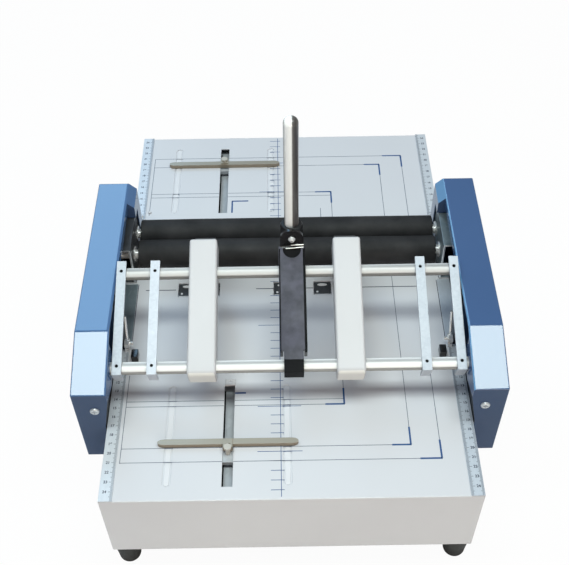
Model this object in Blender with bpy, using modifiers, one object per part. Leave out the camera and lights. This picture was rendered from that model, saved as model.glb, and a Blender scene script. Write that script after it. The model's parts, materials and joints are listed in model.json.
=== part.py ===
# Desktop booklet maker: a saddle stapler and folder that is worked by one handle.
# Lengths are in metres. X runs across the machine, Y from front to rear, Z up.
# The origin is the middle of the footprint, on the surface that the feet stand on.
import math

import bmesh
import bpy
from mathutils import Matrix, Vector

# Clearances and general values
GAP = 0.0003              # between pieces that touch
RUN_GAP = 0.0003          # round a shaft in its bore
OVERRUN = 0.004           # how far a cutter passes the face it cuts
SIDES = 24                # facets of a round piece
SMALL_SIDES = 12          # facets of a screw or a small hole
SMOOTH_ANGLE = math.radians(35)
MILLIMETRE = 0.001
WELD_DISTANCE = 0.00002
FLAT_ANGLE = 0.001        # faces flatter than this, in radians, become one face
HEX_SIDES = 6
LUG_STEPS = 8            # facets of half rounds
STOP_END_STEPS = 5
LINK_STEPS = 8
SECTOR_ARC_STEPS = 8
FRAME_STEPS = 14
EAR_STEPS = 16

# Tray with the flat table as its top
TABLE_WIDTH = 0.349
TABLE_LENGTH = 0.498
TRAY_HEIGHT = 0.096
TRAY_SHEET = 0.0015
TRAY_EDGE_RADIUS = 0.0015
FOOT_HEIGHT = 0.034
FOOT_RADIUS = 0.012
FOOT_SOLE_RADIUS = 0.0085
FOOT_ROUND = 0.003
FOOT_INSET = 0.0135       # foot centre from the tray's sides and ends
PLATE_THICKNESS = 0.0015
TABLE_TOP = FOOT_HEIGHT + TRAY_HEIGHT
TRAY_BOTTOM = FOOT_HEIGHT
TABLE_UNDER = TABLE_TOP - TRAY_SHEET
PLATE_TOP = TRAY_BOTTOM + PLATE_THICKNESS

# Paper lines on the table: the centre line lies left of the machine's middle
PAPER_CENTRE_X = -0.009
STAPLE_Y = 0.001

# Slots, stamped grooves and stops
SLOT_LENGTH_SHARE = 0.2229   # of the table's length
SLOT_WIDTH = 0.010
SLOT_X_SHARES = (-0.1418, -0.1834)   # front and rear, from the paper line, of the table's width
SLOT_Y_SHARES = (-0.3604, 0.3464)    # front and rear, of the table's length
STOP_Y_SHARES = (-0.3855, 0.3876)
GROOVE_WIDTH = 0.008
GROOVE_DEPTH = 0.0010
GROOVE_OFFSET = 0.0555    # groove centre from its slot's centre
STOP_LENGTH = 0.132
STOP_WIDTH = 0.009
STOP_HEIGHT = 0.005
STOP_SHEET = 0.0012
STOP_END = 0.007          # length of the rounded end
STOP_SCREW_REACH = 0.0068   # clamp screw past the stop's centre line
STOP_BOLT_RADIUS = 0.0025
STOP_HEAD_RADIUS = 0.0038
STOP_HEAD_HEIGHT = 0.0025
STOP_NUT_SIZE = 0.020
STOP_NUT_THICKNESS = 0.005
STOP_CLIP_WIDTH = 0.009
STOP_CLIP_REACH = 0.011   # how far the clip reaches past the stop's centre line
STOP_CLIP_SHEET = 0.0015

# Rulers
RULER_WIDTH = 0.0125
RULER_THICKNESS = 0.0008
RULER_EDGE = 0.0005       # from the table's edge
FRONT_RULER_END_Y = -0.078
REAR_RULER_END_Y = 0.108

# Anvils under windows in the table
ANVIL_PLACE_SHARES = (-0.282, -0.2092, 0.0100, 0.1324, 0.1920)   # of the table's width
WINDOW_SHARE = 0.0544     # side of a window, of the table's width
ANVIL_BAR_HEIGHT = 0.010
ANVIL_BAR_WIDTH = 0.024
ANVIL_BAR_END = 0.014     # bar past the outer anvils' centres
ANVIL_GROOVE_LENGTH = 0.012
ANVIL_GROOVE_WIDTH = 0.003
ANVIL_GROOVE_DEPTH = 0.001

# Fold rollers, their brackets and gears
ROLLER_RADIUS = 0.015
ROLLER_INSET = 0.017        # rubber end inside the table edge
ROLLER_RISE = 0.025       # axis above the table
FRONT_ROLLER_Y = 0.0316
ROLLER_PITCH = 2 * ROLLER_RADIUS + GAP
ROLLER_SHAFT_RADIUS = 0.005
BRACKET_INSET = 0.012     # roller bracket inside the table edge
BRACKET_SHEET = 0.0025
BRACKET_FLANGE = 0.009
BRACKET_HEIGHT = 0.052
BRACKET_FRONT_Y = 0.011
BRACKET_REAR_Y = 0.080
BUSH_RADIUS = 0.0085
BUSH_FLANGE_RADIUS = 0.0105
BUSH_FLANGE = 0.0012
GEAR_TEETH = 20
GEAR_WIDTH = 0.0045
GEAR_OUTSET = 0.0032      # gears outside the table edge
GEAR_MODULE = ROLLER_PITCH / GEAR_TEETH
TOOTH_TIP_SHARE = 0.20    # of the tooth pitch, at the tip
TOOTH_ROOT_SHARE = 0.50   # of the tooth pitch, at the root
ADDENDUM_SHARE = 0.72     # of the module
DEDENDUM_SHARE = 0.98     # of the module
SHAFT_END = 0.002         # shaft past the piece it carries

# Press frame: two rods, four flat bars, the lever and the stapler arms
PIVOT_Y = -0.134
PIVOT_RISE = 0.045        # pivot shaft above the table
PIVOT_Z = TABLE_TOP + PIVOT_RISE
ROD_RADIUS = 0.006
ROD_SPACING = 0.0955
REAR_ROD_INSET = 0.016
REST_ANGLE = math.radians(19.6)
PRESS_STROKE = math.radians(16)
STRIP_WIDTH = 0.009
STRIP_THICKNESS = 0.0025
STRIP_REAR = 0.106        # rear end from the pivot
STRIP_TAB_DROP = 0.011    # hook in front of the pivot shaft
OUTER_STRIP_INSET = 0.0133# bar centres inside the table edge
INNER_STRIP_INSET = 0.046
STRIP_HOLE_RADIUS = 0.0016
LEVER_X = 0.0045
LEVER_WIDTH = 0.026
LEVER_TONGUE_WIDTH = 0.0185
LEVER_SHEET = 0.003
LEVER_WALL_FRONT = 0.012
LEVER_WALL_REAR = 0.1135
LEVER_WALL_DROP = 0.010   # side wall below the rods' centre line
LEVER_REAR = 0.1185
LEVER_TAB_DROP = 0.0075
EAR_Y = -0.0245           # middle of the upright ear at rest
EAR_RADIUS = 0.0115
EAR_RISE = 0.104          # bolt above the table
EAR_FOOT_RISE = 0.0895    # lower edge of the ear above the table

# Handle
SOCKET_RADIUS = 0.011
SOCKET_TOP_RISE = 0.1125
SOCKET_BOTTOM_RISE = 0.091
SOCKET_ROUND = 0.003
TUBE_RADIUS = 0.007
TUBE_TOP_RISE = 0.242
TUBE_SEAT = 0.006         # tube's lower end above the socket's bottom
TUBE_ROUND = 0.002
HANDLE_BOLT_RADIUS = 0.0022
HANDLE_BOLT_HEAD_RADIUS = 0.0038
HANDLE_BOLT_HEAD = 0.0028
HANDLE_BOLT_REACH = 0.0045   # shank into the socket

# Stapler arms
STAPLER_COVER_WIDTH = 0.027
COVER_FRONT = -0.011
COVER_REAR = 0.1277
COVER_TOP = 0.011
COVER_DROP = 0.0135
COVER_WALL = 0.0016
COVER_EDGE_RADIUS = 0.0028
LEFT_STAPLER_X = PAPER_CENTRE_X + ANVIL_PLACE_SHARES[1] * TABLE_WIDTH
RIGHT_STAPLER_X = PAPER_CENTRE_X + ANVIL_PLACE_SHARES[4] * TABLE_WIDTH
BODY_SIDE_GAP = 0.0012
BODY_FRONT = 0.024
BODY_TOP = 0.0088
BODY_DROP = 0.0105
NECK_FRONT = 0.104
SHELF_DROP = 0.030
NOSE_LENGTH = 0.014
NOSE_WIDTH = 0.016
STAPLE_REACH = 0.1325     # staple exit from the pivot
NOSE_CLEARANCE = 0.0012   # nose above the table when pressed

# Drive in the left cover: a toothed sector on the pivot shaft turns the rollers
SECTOR_OUTSET = 0.0039
SECTOR_THICKNESS = 0.003
SECTOR_RIM = 0.009
SECTOR_HUB_RADIUS = 0.012
SECTOR_ARM_END_RADIUS = 0.003
SECTOR_MARGIN = math.radians(1.1)
PIVOT_SHAFT_OUTSET = 0.0095

# Links, rocker shaft and folding knife
LINK_RADIUS_AT = 0.070    # link pin from the pivot, along the rods' plane
LINK_PIN_BELOW = 0.001    # link pin below the rods' plane
LINK_PIN_RADIUS = 0.003
LINK_THICKNESS = 0.003
LINK_SLOT_SIDE_GAP = 0.001
LINK_SLOT_END_GAP = 0.002
LINK_INSET = 0.0076
LINK_EYE_RADIUS = 0.0048
LINK_FOOT_RADIUS = 0.0072
LINK_FREE_HOLE = 0.0052   # open pivot at the link's lower end
LUG_THICKNESS = 0.003
LUG_HALF = 0.007
ROCKER_RADIUS = 0.056     # front arm of the rocker
ROCKER_SHAFT_Y = -0.0108
ROCKER_SHAFT_DROP = 0.040   # axis below the table
ROCKER_SHAFT_RADIUS = 0.005
ROCKER_ARM_THICKNESS = 0.003
ROCKER_EYE_RADIUS = 0.009
ROCKER_TIP_RADIUS = 0.006
FRONT_ARM_INSET = 0.0118
LIFT_ARM_INSET = 0.036
BEARING_INSET = 0.0445
BEARING_WIDTH = 0.010
BEARING_LENGTH = 0.022
BEARING_HEAD = 0.009      # bearing block above the rocker axis
KNIFE_TRAVEL = 0.020
KNIFE_THICKNESS = 0.0008
KNIFE_INSET = 0.0285
KNIFE_REST_DROP = 0.001   # blade top below the table top at rest
SLIT_WIDTH = 0.003
SLIT_END_GAP = 0.002
CARRIER_WIDTH = 0.010
CARRIER_HEIGHT = 0.008
CARRIER_INSET = 0.016
CARRIER_DROP = 0.033      # carrier top below the table top at rest
GUIDE_RADIUS = 0.004
GUIDE_INSET = 0.0225
LUG_INSET = 0.032         # inner face of the carrier's lug, inside the table edge
CARRIER_LUG_WIDTH = 0.020
CARRIER_LUG_DROP = 0.016
LIFT_SLOT_LENGTH = 0.0100
LIFT_SLOT_HEIGHT = 0.0074
SPRING_INSET = 0.0745
SPRING_RADIUS = 0.005
SPRING_WIRE = 0.0007
SPRING_TURNS = 9
SPRING_POINTS = 8         # points in a turn
SPRING_TAIL = 0.003       # straight end of the wire

# Side frames and covers
FRAME_GAP = 0.0003
FRAME_SHEET = 0.0025
FRAME_BOTTOM_DROP = 0.030
FRAME_RAIL_DROP = 0.004
FRAME_REAR_Y = 0.076
FRAME_FRONT_Y = -0.1683
FRAME_BOSS_RADIUS = 0.014
FRAME_SHOULDER_Y = -0.104
FRAME_TAB_THICKNESS = 0.002
FRAME_TAB_HALF = 0.008
COVER_OUTSET = 0.0255     # cover outer face outside the table edge
COVER_INSET = 0.007       # cover inner face over the table
SIDE_SHEET = 0.0012
COVER_TOP_RISE = 0.0755
COVER_REAR_Y = 0.088
COVER_CHAMFER_Y = -0.1125
COVER_FRONT_Y = -0.171
COVER_CHAMFER_RISE = 0.0545
COVER_BOTTOM_DROP = 0.047
COVER_LIP = 0.010
COVER_BEND = 0.0012       # sloping inner edge of the top
COVER_STEP_Y = 0.058      # behind this the inner wall steps in, past the bracket
COVER_BRACKET_GAP = 0.0008
COVER_BRACKET_RISE = 0.0015
COVER_TABLE_GAP = 0.0016
COVER_WINDOW_REAR_Y = 0.072
COVER_WINDOW_MIDDLE_Y = -0.045
COVER_WINDOW_FRONT_Y = -0.122
COVER_WALL_RISE = 0.034      # lower edge of the inner wall below the shaft hole
COVER_WALL_FRONT_RISE = 0.0425
COVER_WALL_BEND_Y = -0.146
COVER_SHAFT_HOLE = 0.0075
COVER_SCREW_RISE = 0.030
COVER_SCREW_OUTSET = 0.0065
COVER_SCREW_HEAD_RADIUS = 0.0045
COVER_SCREW_HEAD = 0.002
COVER_SCREW_RADIUS = 0.0018

# Colours: base colour, roughness, metallic
PAINT_TABLE = ((0.60, 0.66, 0.72), 0.45, 0.0)
STEEL = ((0.62, 0.64, 0.66), 0.35, 1.0)
CHROME = ((0.85, 0.86, 0.88), 0.12, 1.0)
ZINC = ((0.70, 0.73, 0.78), 0.38, 0.9)
BLACK_PAINT = ((0.035, 0.035, 0.045), 0.45, 0.0)
RUBBER = ((0.03, 0.03, 0.032), 0.75, 0.0)
IVORY = ((0.76, 0.78, 0.76), 0.40, 0.0)
BLUE = ((0.07, 0.15, 0.32), 0.40, 0.0)
BRASS = ((0.50, 0.45, 0.36), 0.35, 1.0)

# Places that follow from the sizes above
HALF_WIDTH = TABLE_WIDTH / 2
HALF_LENGTH = TABLE_LENGTH / 2
BRACKET_INNER_X = HALF_WIDTH - BRACKET_INSET
GEAR_INNER_X = HALF_WIDTH + GEAR_OUTSET
REAR_ROD_HALF = HALF_WIDTH - REAR_ROD_INSET
OUTER_STRIP_X = HALF_WIDTH - OUTER_STRIP_INSET
INNER_STRIP_X = HALF_WIDTH - INNER_STRIP_INSET
SECTOR_INNER_X = HALF_WIDTH + SECTOR_OUTSET
PIVOT_SHAFT_HALF = HALF_WIDTH + PIVOT_SHAFT_OUTSET
LINK_INNER_X = HALF_WIDTH - LINK_INSET
FRONT_ARM_INNER_X = HALF_WIDTH - FRONT_ARM_INSET
LIFT_ARM_INNER_X = HALF_WIDTH - LIFT_ARM_INSET
BEARING_X = HALF_WIDTH - BEARING_INSET
CARRIER_HALF = HALF_WIDTH - CARRIER_INSET
GUIDE_X = HALF_WIDTH - GUIDE_INSET
LUG_X = HALF_WIDTH - LUG_INSET
SPRING_X = HALF_WIDTH - SPRING_INSET
COVER_OUTER_X = HALF_WIDTH + COVER_OUTSET
COVER_INNER_X = HALF_WIDTH - COVER_INSET
COVER_STEP_X = BRACKET_INNER_X - COVER_BRACKET_GAP - SIDE_SHEET
COVER_SCREW_X = HALF_WIDTH + COVER_SCREW_OUTSET
ROLLER_LENGTH = TABLE_WIDTH - 2 * ROLLER_INSET
KNIFE_LENGTH = TABLE_WIDTH - 2 * KNIFE_INSET
FRONT_SLOT_X = PAPER_CENTRE_X + SLOT_X_SHARES[0] * TABLE_WIDTH
REAR_SLOT_X = PAPER_CENTRE_X + SLOT_X_SHARES[1] * TABLE_WIDTH
FRONT_SLOT_Y = SLOT_Y_SHARES[0] * TABLE_LENGTH
REAR_SLOT_Y = SLOT_Y_SHARES[1] * TABLE_LENGTH
SLOT_LENGTH = SLOT_LENGTH_SHARE * TABLE_LENGTH
FRONT_STOP_Y = STOP_Y_SHARES[0] * TABLE_LENGTH
REAR_STOP_Y = STOP_Y_SHARES[1] * TABLE_LENGTH
WINDOW_SIZE = WINDOW_SHARE * TABLE_WIDTH
ROLLER_Z = TABLE_TOP + ROLLER_RISE
REAR_ROLLER_Y = FRONT_ROLLER_Y + ROLLER_PITCH
NIP_Y = FRONT_ROLLER_Y + ROLLER_PITCH / 2
BRACKET_OUTER_X = BRACKET_INNER_X + BRACKET_SHEET
ROCKER_SHAFT_Z = TABLE_TOP - ROCKER_SHAFT_DROP
LINK_OUTER_X = LINK_INNER_X + LINK_THICKNESS
EAR_Z = TABLE_TOP + EAR_RISE
SOCKET_Y = EAR_Y + LEVER_SHEET / 2 + GAP + SOCKET_RADIUS
SECTOR_REACH = math.hypot(FRONT_ROLLER_Y - PIVOT_Y, ROLLER_Z - PIVOT_Z)
SECTOR_PITCH_RADIUS = SECTOR_REACH - ROLLER_PITCH / 2
MESH_ANGLE = math.atan2(ROLLER_Z - PIVOT_Z, FRONT_ROLLER_Y - PIVOT_Y)
CARRIER_TOP = TABLE_TOP - CARRIER_DROP
CARRIER_BOTTOM = CARRIER_TOP - CARRIER_HEIGHT
PRESSED_ANGLE = REST_ANGLE - PRESS_STROKE
PIN_FALL = (LINK_RADIUS_AT * (math.sin(REST_ANGLE) - math.sin(PRESSED_ANGLE))
            - LINK_PIN_BELOW * (math.cos(REST_ANGLE) - math.cos(PRESSED_ANGLE)))
ROCKER_REST = math.asin(PIN_FALL / 2 / ROCKER_RADIUS)
LIFT_RADIUS = KNIFE_TRAVEL / 2 / math.sin(ROCKER_REST)

parts = None
cutters = None


def clear_scene():
    for obj in list(bpy.data.objects):
        bpy.data.objects.remove(obj)


def make_collection(name):
    collection = bpy.data.collections.new(name)
    bpy.context.scene.collection.children.link(collection)
    return collection


def make_material(name, look):
    color, roughness, metallic = look
    material = bpy.data.materials.new(name)
    material.use_nodes = True
    shader = material.node_tree.nodes["Principled BSDF"]
    shader.inputs["Base Color"].default_value = (*color, 1)
    shader.inputs["Roughness"].default_value = roughness
    shader.inputs["Metallic"].default_value = metallic
    material.diffuse_color = (*color, 1)
    return material


def add_object(name, mesh, look, parent=None, origin=(0, 0, 0)):
    # With no look given, the object is a tool for a Boolean and stays hidden
    obj = bpy.data.objects.new(name, mesh)
    obj.location = origin
    if look is None:
        cutters.objects.link(obj)
        obj.hide_render = True
        obj.display_type = "WIRE"
    else:
        parts.objects.link(obj)
        mesh.materials.clear()
        mesh.materials.append(make_material(name, look))
    if parent is not None:
        obj.parent = parent
    return obj


def add_pivot(name, location, tilt=0.0, parent=None):
    pivot = bpy.data.objects.new(name, None)
    pivot.location = location
    pivot.rotation_euler = (tilt, 0, 0)
    pivot.parent = parent
    parts.objects.link(pivot)
    return pivot


def shade(mesh):
    mesh.shade_smooth()
    mesh.set_sharp_from_angle(angle=SMOOTH_ANGLE)


def box(name, low, high, look=None, parent=None, origin=(0, 0, 0)):
    bm = bmesh.new()
    bmesh.ops.create_cube(bm, size=1)
    low = Vector(low) - Vector(origin)
    high = Vector(high) - Vector(origin)
    size = high - low
    bmesh.ops.scale(bm, vec=size, verts=bm.verts)
    bmesh.ops.translate(bm, vec=(low + high) / 2, verts=bm.verts)
    mesh = bpy.data.meshes.new(name)
    bm.to_mesh(mesh)
    bm.free()
    return add_object(name, mesh, look, parent, origin)


def rod(name, start, end, radius, look=None, parent=None, sides=SIDES, end_radius=None, origin=(0, 0, 0)):
    start = Vector(start) - Vector(origin)
    end = Vector(end) - Vector(origin)
    along = end - start
    turn = Vector((0, 0, 1)).rotation_difference(along).to_matrix().to_4x4()
    place = Matrix.Translation((start + end) / 2) @ turn
    if end_radius is None:
        end_radius = radius
    bm = bmesh.new()
    bmesh.ops.create_cone(bm, cap_ends=True, segments=sides, radius1=radius, radius2=end_radius,
                          depth=along.length, matrix=place)
    mesh = bpy.data.meshes.new(name)
    bm.to_mesh(mesh)
    bm.free()
    shade(mesh)
    return add_object(name, mesh, look, parent, origin)


def slab(name, loops, axis, low, high, look=None, parent=None, origin=(0, 0, 0)):
    # A flat outline with its holes, drawn as a filled 2D curve and given thickness along an axis
    curve = bpy.data.curves.new(name, "CURVE")
    curve.dimensions = "2D"
    curve.fill_mode = "BOTH"
    curve.extrude = (high - low) / 2
    for loop in loops:
        spline = curve.splines.new("POLY")
        spline.points.add(len(loop) - 1)
        for point, (a, b) in zip(spline.points, loop):
            point.co = (a, b, 0, 1)
        spline.use_cyclic_u = True
    drawn = bpy.data.objects.new(name + "_outline", curve)
    bpy.context.scene.collection.objects.link(drawn)
    mesh = bpy.data.meshes.new_from_object(drawn.evaluated_get(bpy.context.evaluated_depsgraph_get()))
    bpy.data.objects.remove(drawn)
    middle = (low + high) / 2
    columns = {"X": ((0, 1, 0), (0, 0, 1), (1, 0, 0)),
               "Y": ((1, 0, 0), (0, 0, 1), (0, -1, 0)),
               "Z": ((1, 0, 0), (0, 1, 0), (0, 0, 1))}[axis]
    turn = Matrix(columns).transposed().to_4x4()
    offset = {"X": (middle, 0, 0), "Y": (0, middle, 0), "Z": (0, 0, middle)}[axis]
    mesh.transform(Matrix.Translation(Vector(offset)) @ turn)
    bm = bmesh.new()
    bm.from_mesh(mesh)
    bmesh.ops.remove_doubles(bm, verts=bm.verts, dist=WELD_DISTANCE)
    bmesh.ops.recalc_face_normals(bm, faces=bm.faces)
    bm.to_mesh(mesh)
    bm.free()
    shade(mesh)
    return add_object(name, mesh, look, parent, origin)


def subtract(target, *tools):
    for tool in tools:
        modifier = target.modifiers.new(tool.name, "BOOLEAN")
        modifier.operation = "DIFFERENCE"
        modifier.object = tool


def unite(target, *tools):
    for tool in tools:
        modifier = target.modifiers.new(tool.name, "BOOLEAN")
        modifier.operation = "UNION"
        modifier.object = tool


def round_edges(obj, width, segments=2):
    modifier = obj.modifiers.new("rounded_edges", "BEVEL")
    modifier.width = width
    modifier.segments = segments
    modifier.limit_method = "ANGLE"
    modifier.harden_normals = False


def bevel_inner_top(obj, x, low, width):
    # A flat chamfer along the top edges of the wall that lies at x
    bm = bmesh.new()
    bm.from_mesh(obj.data)
    bmesh.ops.dissolve_limit(bm, angle_limit=FLAT_ANGLE, verts=bm.verts, edges=bm.edges)
    edges = [e for e in bm.edges if all(abs(v.co.x - x) < WELD_DISTANCE and v.co.z > low for v in e.verts)]
    bmesh.ops.bevel(bm, geom=edges, offset=width, offset_type="OFFSET", segments=1, profile=0.5,
                    affect="EDGES")
    bm.to_mesh(obj.data)
    bm.free()
    shade(obj.data)


def circle(centre, radius, sides=SIDES, start=0.0):
    points = []
    for i in range(sides):
        angle = start + math.tau * i / sides
        points.append((centre[0] + radius * math.cos(angle), centre[1] + radius * math.sin(angle)))
    return points


def arc(centre, radius, start, end, steps):
    points = []
    for i in range(steps + 1):
        angle = start + (end - start) * i / steps
        points.append((centre[0] + radius * math.cos(angle), centre[1] + radius * math.sin(angle)))
    return points


def arm(first, first_radius, second, second_radius, steps=10):
    # Outline of a bar with round ends of two sizes, joined by their common tangents
    dx = second[0] - first[0]
    dy = second[1] - first[1]
    heading = math.atan2(dy, dx)
    lean = math.acos((first_radius - second_radius) / math.hypot(dx, dy))
    near = arc(first, first_radius, heading + lean, heading + math.tau - lean, steps)
    far = arc(second, second_radius, heading - lean, heading + lean, steps)
    return near + far


def slot_outline(centre, length, width, upright=True, steps=8):
    reach = (length - width) / 2
    dx = 0 if upright else reach
    dy = reach if upright else 0
    first = (centre[0] - dx, centre[1] - dy)
    second = (centre[0] + dx, centre[1] + dy)
    return arm(first, width / 2, second, width / 2, steps)


def frame_point(along, above):
    # World place of a point of the press frame at rest: along the rods' plane and square to it
    y = PIVOT_Y + along * math.cos(REST_ANGLE) - above * math.sin(REST_ANGLE)
    z = PIVOT_Z + along * math.sin(REST_ANGLE) + above * math.cos(REST_ANGLE)
    return y, z


def make_tray():
    tray = box("base_tray", (-HALF_WIDTH, -HALF_LENGTH, TRAY_BOTTOM), (HALF_WIDTH, HALF_LENGTH, TABLE_TOP),
               PAINT_TABLE)
    round_edges(tray, TRAY_EDGE_RADIUS)
    hollow = box("tray_hollow",
                 (-HALF_WIDTH + TRAY_SHEET, -HALF_LENGTH + TRAY_SHEET, TRAY_BOTTOM - OVERRUN),
                 (HALF_WIDTH - TRAY_SHEET, HALF_LENGTH - TRAY_SHEET, TABLE_UNDER))
    subtract(tray, hollow)
    low, high = TABLE_UNDER - OVERRUN, TABLE_TOP + OVERRUN
    groove_low = TABLE_TOP - GROOVE_DEPTH
    for place, x, y in (("front", FRONT_SLOT_X, FRONT_SLOT_Y), ("rear", REAR_SLOT_X, REAR_SLOT_Y)):
        slot = box(place + "_slot", (x - SLOT_WIDTH / 2, y - SLOT_LENGTH / 2, low),
                   (x + SLOT_WIDTH / 2, y + SLOT_LENGTH / 2, high))
        subtract(tray, slot)
        for side, sign in (("left", -1), ("right", 1)):
            outline = slot_outline((x + sign * GROOVE_OFFSET, y), SLOT_LENGTH, GROOVE_WIDTH)
            groove = slab(place + "_groove_" + side, [outline], "Z", groove_low, high)
            subtract(tray, groove)
    for number, share in enumerate(ANVIL_PLACE_SHARES, 1):
        x = PAPER_CENTRE_X + share * TABLE_WIDTH
        half = WINDOW_SIZE / 2
        window = box("window_%d" % number, (x - half, STAPLE_Y - half, low),
                     (x + half, STAPLE_Y + half, high))
        subtract(tray, window)
    slit_half = KNIFE_LENGTH / 2 + SLIT_END_GAP
    slit = box("knife_slit", (-slit_half, NIP_Y - SLIT_WIDTH / 2, low),
               (slit_half, NIP_Y + SLIT_WIDTH / 2, high))
    subtract(tray, slit)
    pin_y = frame_point(LINK_RADIUS_AT, -LINK_PIN_BELOW)[0]
    for side, sign in (("left", -1), ("right", 1)):
        x = sign * (LINK_INNER_X + LINK_THICKNESS / 2)
        half_x = LINK_THICKNESS / 2 + LINK_SLOT_SIDE_GAP
        half_y = LINK_FOOT_RADIUS + LINK_SLOT_END_GAP
        opening = box("link_slot_" + side, (x - half_x, pin_y - half_y, low),
                      (x + half_x, pin_y + half_y, high))
        subtract(tray, opening)
    return tray


def make_bottom_and_feet():
    inset = TRAY_SHEET + GAP
    box("bottom_plate", (-HALF_WIDTH + inset, -HALF_LENGTH + inset, TRAY_BOTTOM),
        (HALF_WIDTH - inset, HALF_LENGTH - inset, PLATE_TOP), STEEL)
    for name, x_sign, y_sign in (("front_left", -1, -1), ("front_right", 1, -1),
                                 ("rear_left", -1, 1), ("rear_right", 1, 1)):
        x = x_sign * (HALF_WIDTH - FOOT_INSET)
        y = y_sign * (HALF_LENGTH - FOOT_INSET)
        foot = rod("foot_" + name, (x, y, 0), (x, y, FOOT_HEIGHT - GAP), FOOT_SOLE_RADIUS, RUBBER,
                   end_radius=FOOT_RADIUS)
        round_edges(foot, FOOT_ROUND)


def make_rulers():
    low = TABLE_TOP + GAP
    high = low + RULER_THICKNESS
    outer = HALF_WIDTH - RULER_EDGE
    end = HALF_LENGTH - RULER_EDGE
    for side, sign in (("left", -1), ("right", 1)):
        xs = sorted((sign * outer, sign * (outer - RULER_WIDTH)))
        box("ruler_front_" + side, (xs[0], -end, low), (xs[1], FRONT_RULER_END_Y, high), STEEL)
        box("ruler_rear_" + side, (xs[0], REAR_RULER_END_Y, low), (xs[1], end, high), STEEL)


def make_anvil_bar():
    first = PAPER_CENTRE_X + ANVIL_PLACE_SHARES[0] * TABLE_WIDTH - ANVIL_BAR_END
    last = PAPER_CENTRE_X + ANVIL_PLACE_SHARES[-1] * TABLE_WIDTH + ANVIL_BAR_END
    top = TABLE_UNDER - GAP
    bar = box("anvil_bar", (first, STAPLE_Y - ANVIL_BAR_WIDTH / 2, top - ANVIL_BAR_HEIGHT),
              (last, STAPLE_Y + ANVIL_BAR_WIDTH / 2, top), STEEL)
    for number, share in enumerate(ANVIL_PLACE_SHARES, 1):
        x = PAPER_CENTRE_X + share * TABLE_WIDTH
        half_x = ANVIL_GROOVE_LENGTH / 2
        half_y = ANVIL_GROOVE_WIDTH / 2
        groove = box("anvil_groove_%d" % number, (x - half_x, STAPLE_Y - half_y, top - ANVIL_GROOVE_DEPTH),
                     (x + half_x, STAPLE_Y + half_y, top + OVERRUN))
        subtract(bar, groove)


def make_roller_brackets():
    inner, outer = BRACKET_INNER_X, BRACKET_OUTER_X
    edge = outer + BRACKET_FLANGE
    low = TABLE_TOP + GAP
    high = TABLE_TOP + BRACKET_HEIGHT
    outline = [(inner, low), (edge, low), (edge, low + BRACKET_SHEET), (outer, low + BRACKET_SHEET),
               (outer, high - BRACKET_SHEET), (edge, high - BRACKET_SHEET), (edge, high), (inner, high)]
    for side, sign in (("left", -1), ("right", 1)):
        loop = [(sign * a, b) for a, b in outline]
        bracket = slab("roller_bracket_" + side, [loop], "Y", BRACKET_FRONT_Y, BRACKET_REAR_Y, ZINC)
        for place, y in (("front", FRONT_ROLLER_Y), ("rear", REAR_ROLLER_Y)):
            hole = rod("bush_hole_%s_%s" % (place, side), (sign * (inner - OVERRUN), y, ROLLER_Z),
                       (sign * (outer + OVERRUN), y, ROLLER_Z), BUSH_RADIUS + GAP)
            subtract(bracket, hole)
            bush = rod("roller_bush_%s_%s" % (place, side), (sign * (outer + BUSH_FLANGE), y, ROLLER_Z),
                       (sign * (inner - BUSH_FLANGE), y, ROLLER_Z), BUSH_RADIUS, STEEL)
            flange = rod("bush_flange_%s_%s" % (place, side), (sign * (outer + GAP), y, ROLLER_Z),
                         (sign * (outer + GAP + BUSH_FLANGE), y, ROLLER_Z), BUSH_FLANGE_RADIUS)
            unite(bush, flange)
            bore = rod("bush_bore_%s_%s" % (place, side), (sign * (outer + OVERRUN), y, ROLLER_Z),
                       (sign * (inner - OVERRUN), y, ROLLER_Z), ROLLER_SHAFT_RADIUS + RUN_GAP)
            subtract(bush, bore)


def tooth_points(centre, pitch_radius, middle, pitch_angle, inward=False):
    # One tooth with straight flanks, about the angle middle
    sign = -1 if inward else 1
    tip = pitch_radius + sign * ADDENDUM_SHARE * GEAR_MODULE
    root = pitch_radius - sign * DEDENDUM_SHARE * GEAR_MODULE
    points = []
    for radius, share in ((root, -TOOTH_ROOT_SHARE), (tip, -TOOTH_TIP_SHARE),
                          (tip, TOOTH_TIP_SHARE), (root, TOOTH_ROOT_SHARE)):
        angle = middle + share * pitch_angle / 2
        points.append((centre[0] + radius * math.cos(angle), centre[1] + radius * math.sin(angle)))
    return points


def gear_outline(phase):
    pitch_angle = math.tau / GEAR_TEETH
    points = []
    for i in range(GEAR_TEETH):
        points += tooth_points((0, 0), ROLLER_PITCH / 2, phase + i * pitch_angle, pitch_angle)
    return points


def sector_outline():
    # The sector reaches from the mesh point upward, and swings down through it when pressed
    gear_pitch = math.tau / GEAR_TEETH
    pitch_angle = gear_pitch * (ROLLER_PITCH / 2) / SECTOR_PITCH_RADIUS
    contact = math.pi + MESH_ANGLE
    offset = (contact / gear_pitch) % 1.0
    first_gap = MESH_ANGLE + offset * pitch_angle
    low = MESH_ANGLE - SECTOR_MARGIN
    high = MESH_ANGLE + PRESS_STROKE + SECTOR_MARGIN
    root = SECTOR_PITCH_RADIUS - DEDENDUM_SHARE * GEAR_MODULE
    points = arc((0, 0), root - SECTOR_RIM, high, low, SECTOR_ARC_STEPS)
    points.append((root * math.cos(low), root * math.sin(low)))
    number = math.floor((low - first_gap) / pitch_angle) - 1
    while True:
        middle = first_gap + (number + 0.5) * pitch_angle
        number += 1
        if middle - TOOTH_ROOT_SHARE * pitch_angle / 2 < low:
            continue
        if middle + TOOTH_ROOT_SHARE * pitch_angle / 2 > high:
            break
        points += tooth_points((0, 0), SECTOR_PITCH_RADIUS, middle, pitch_angle)
    points.append((root * math.cos(high), root * math.sin(high)))
    return points


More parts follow.
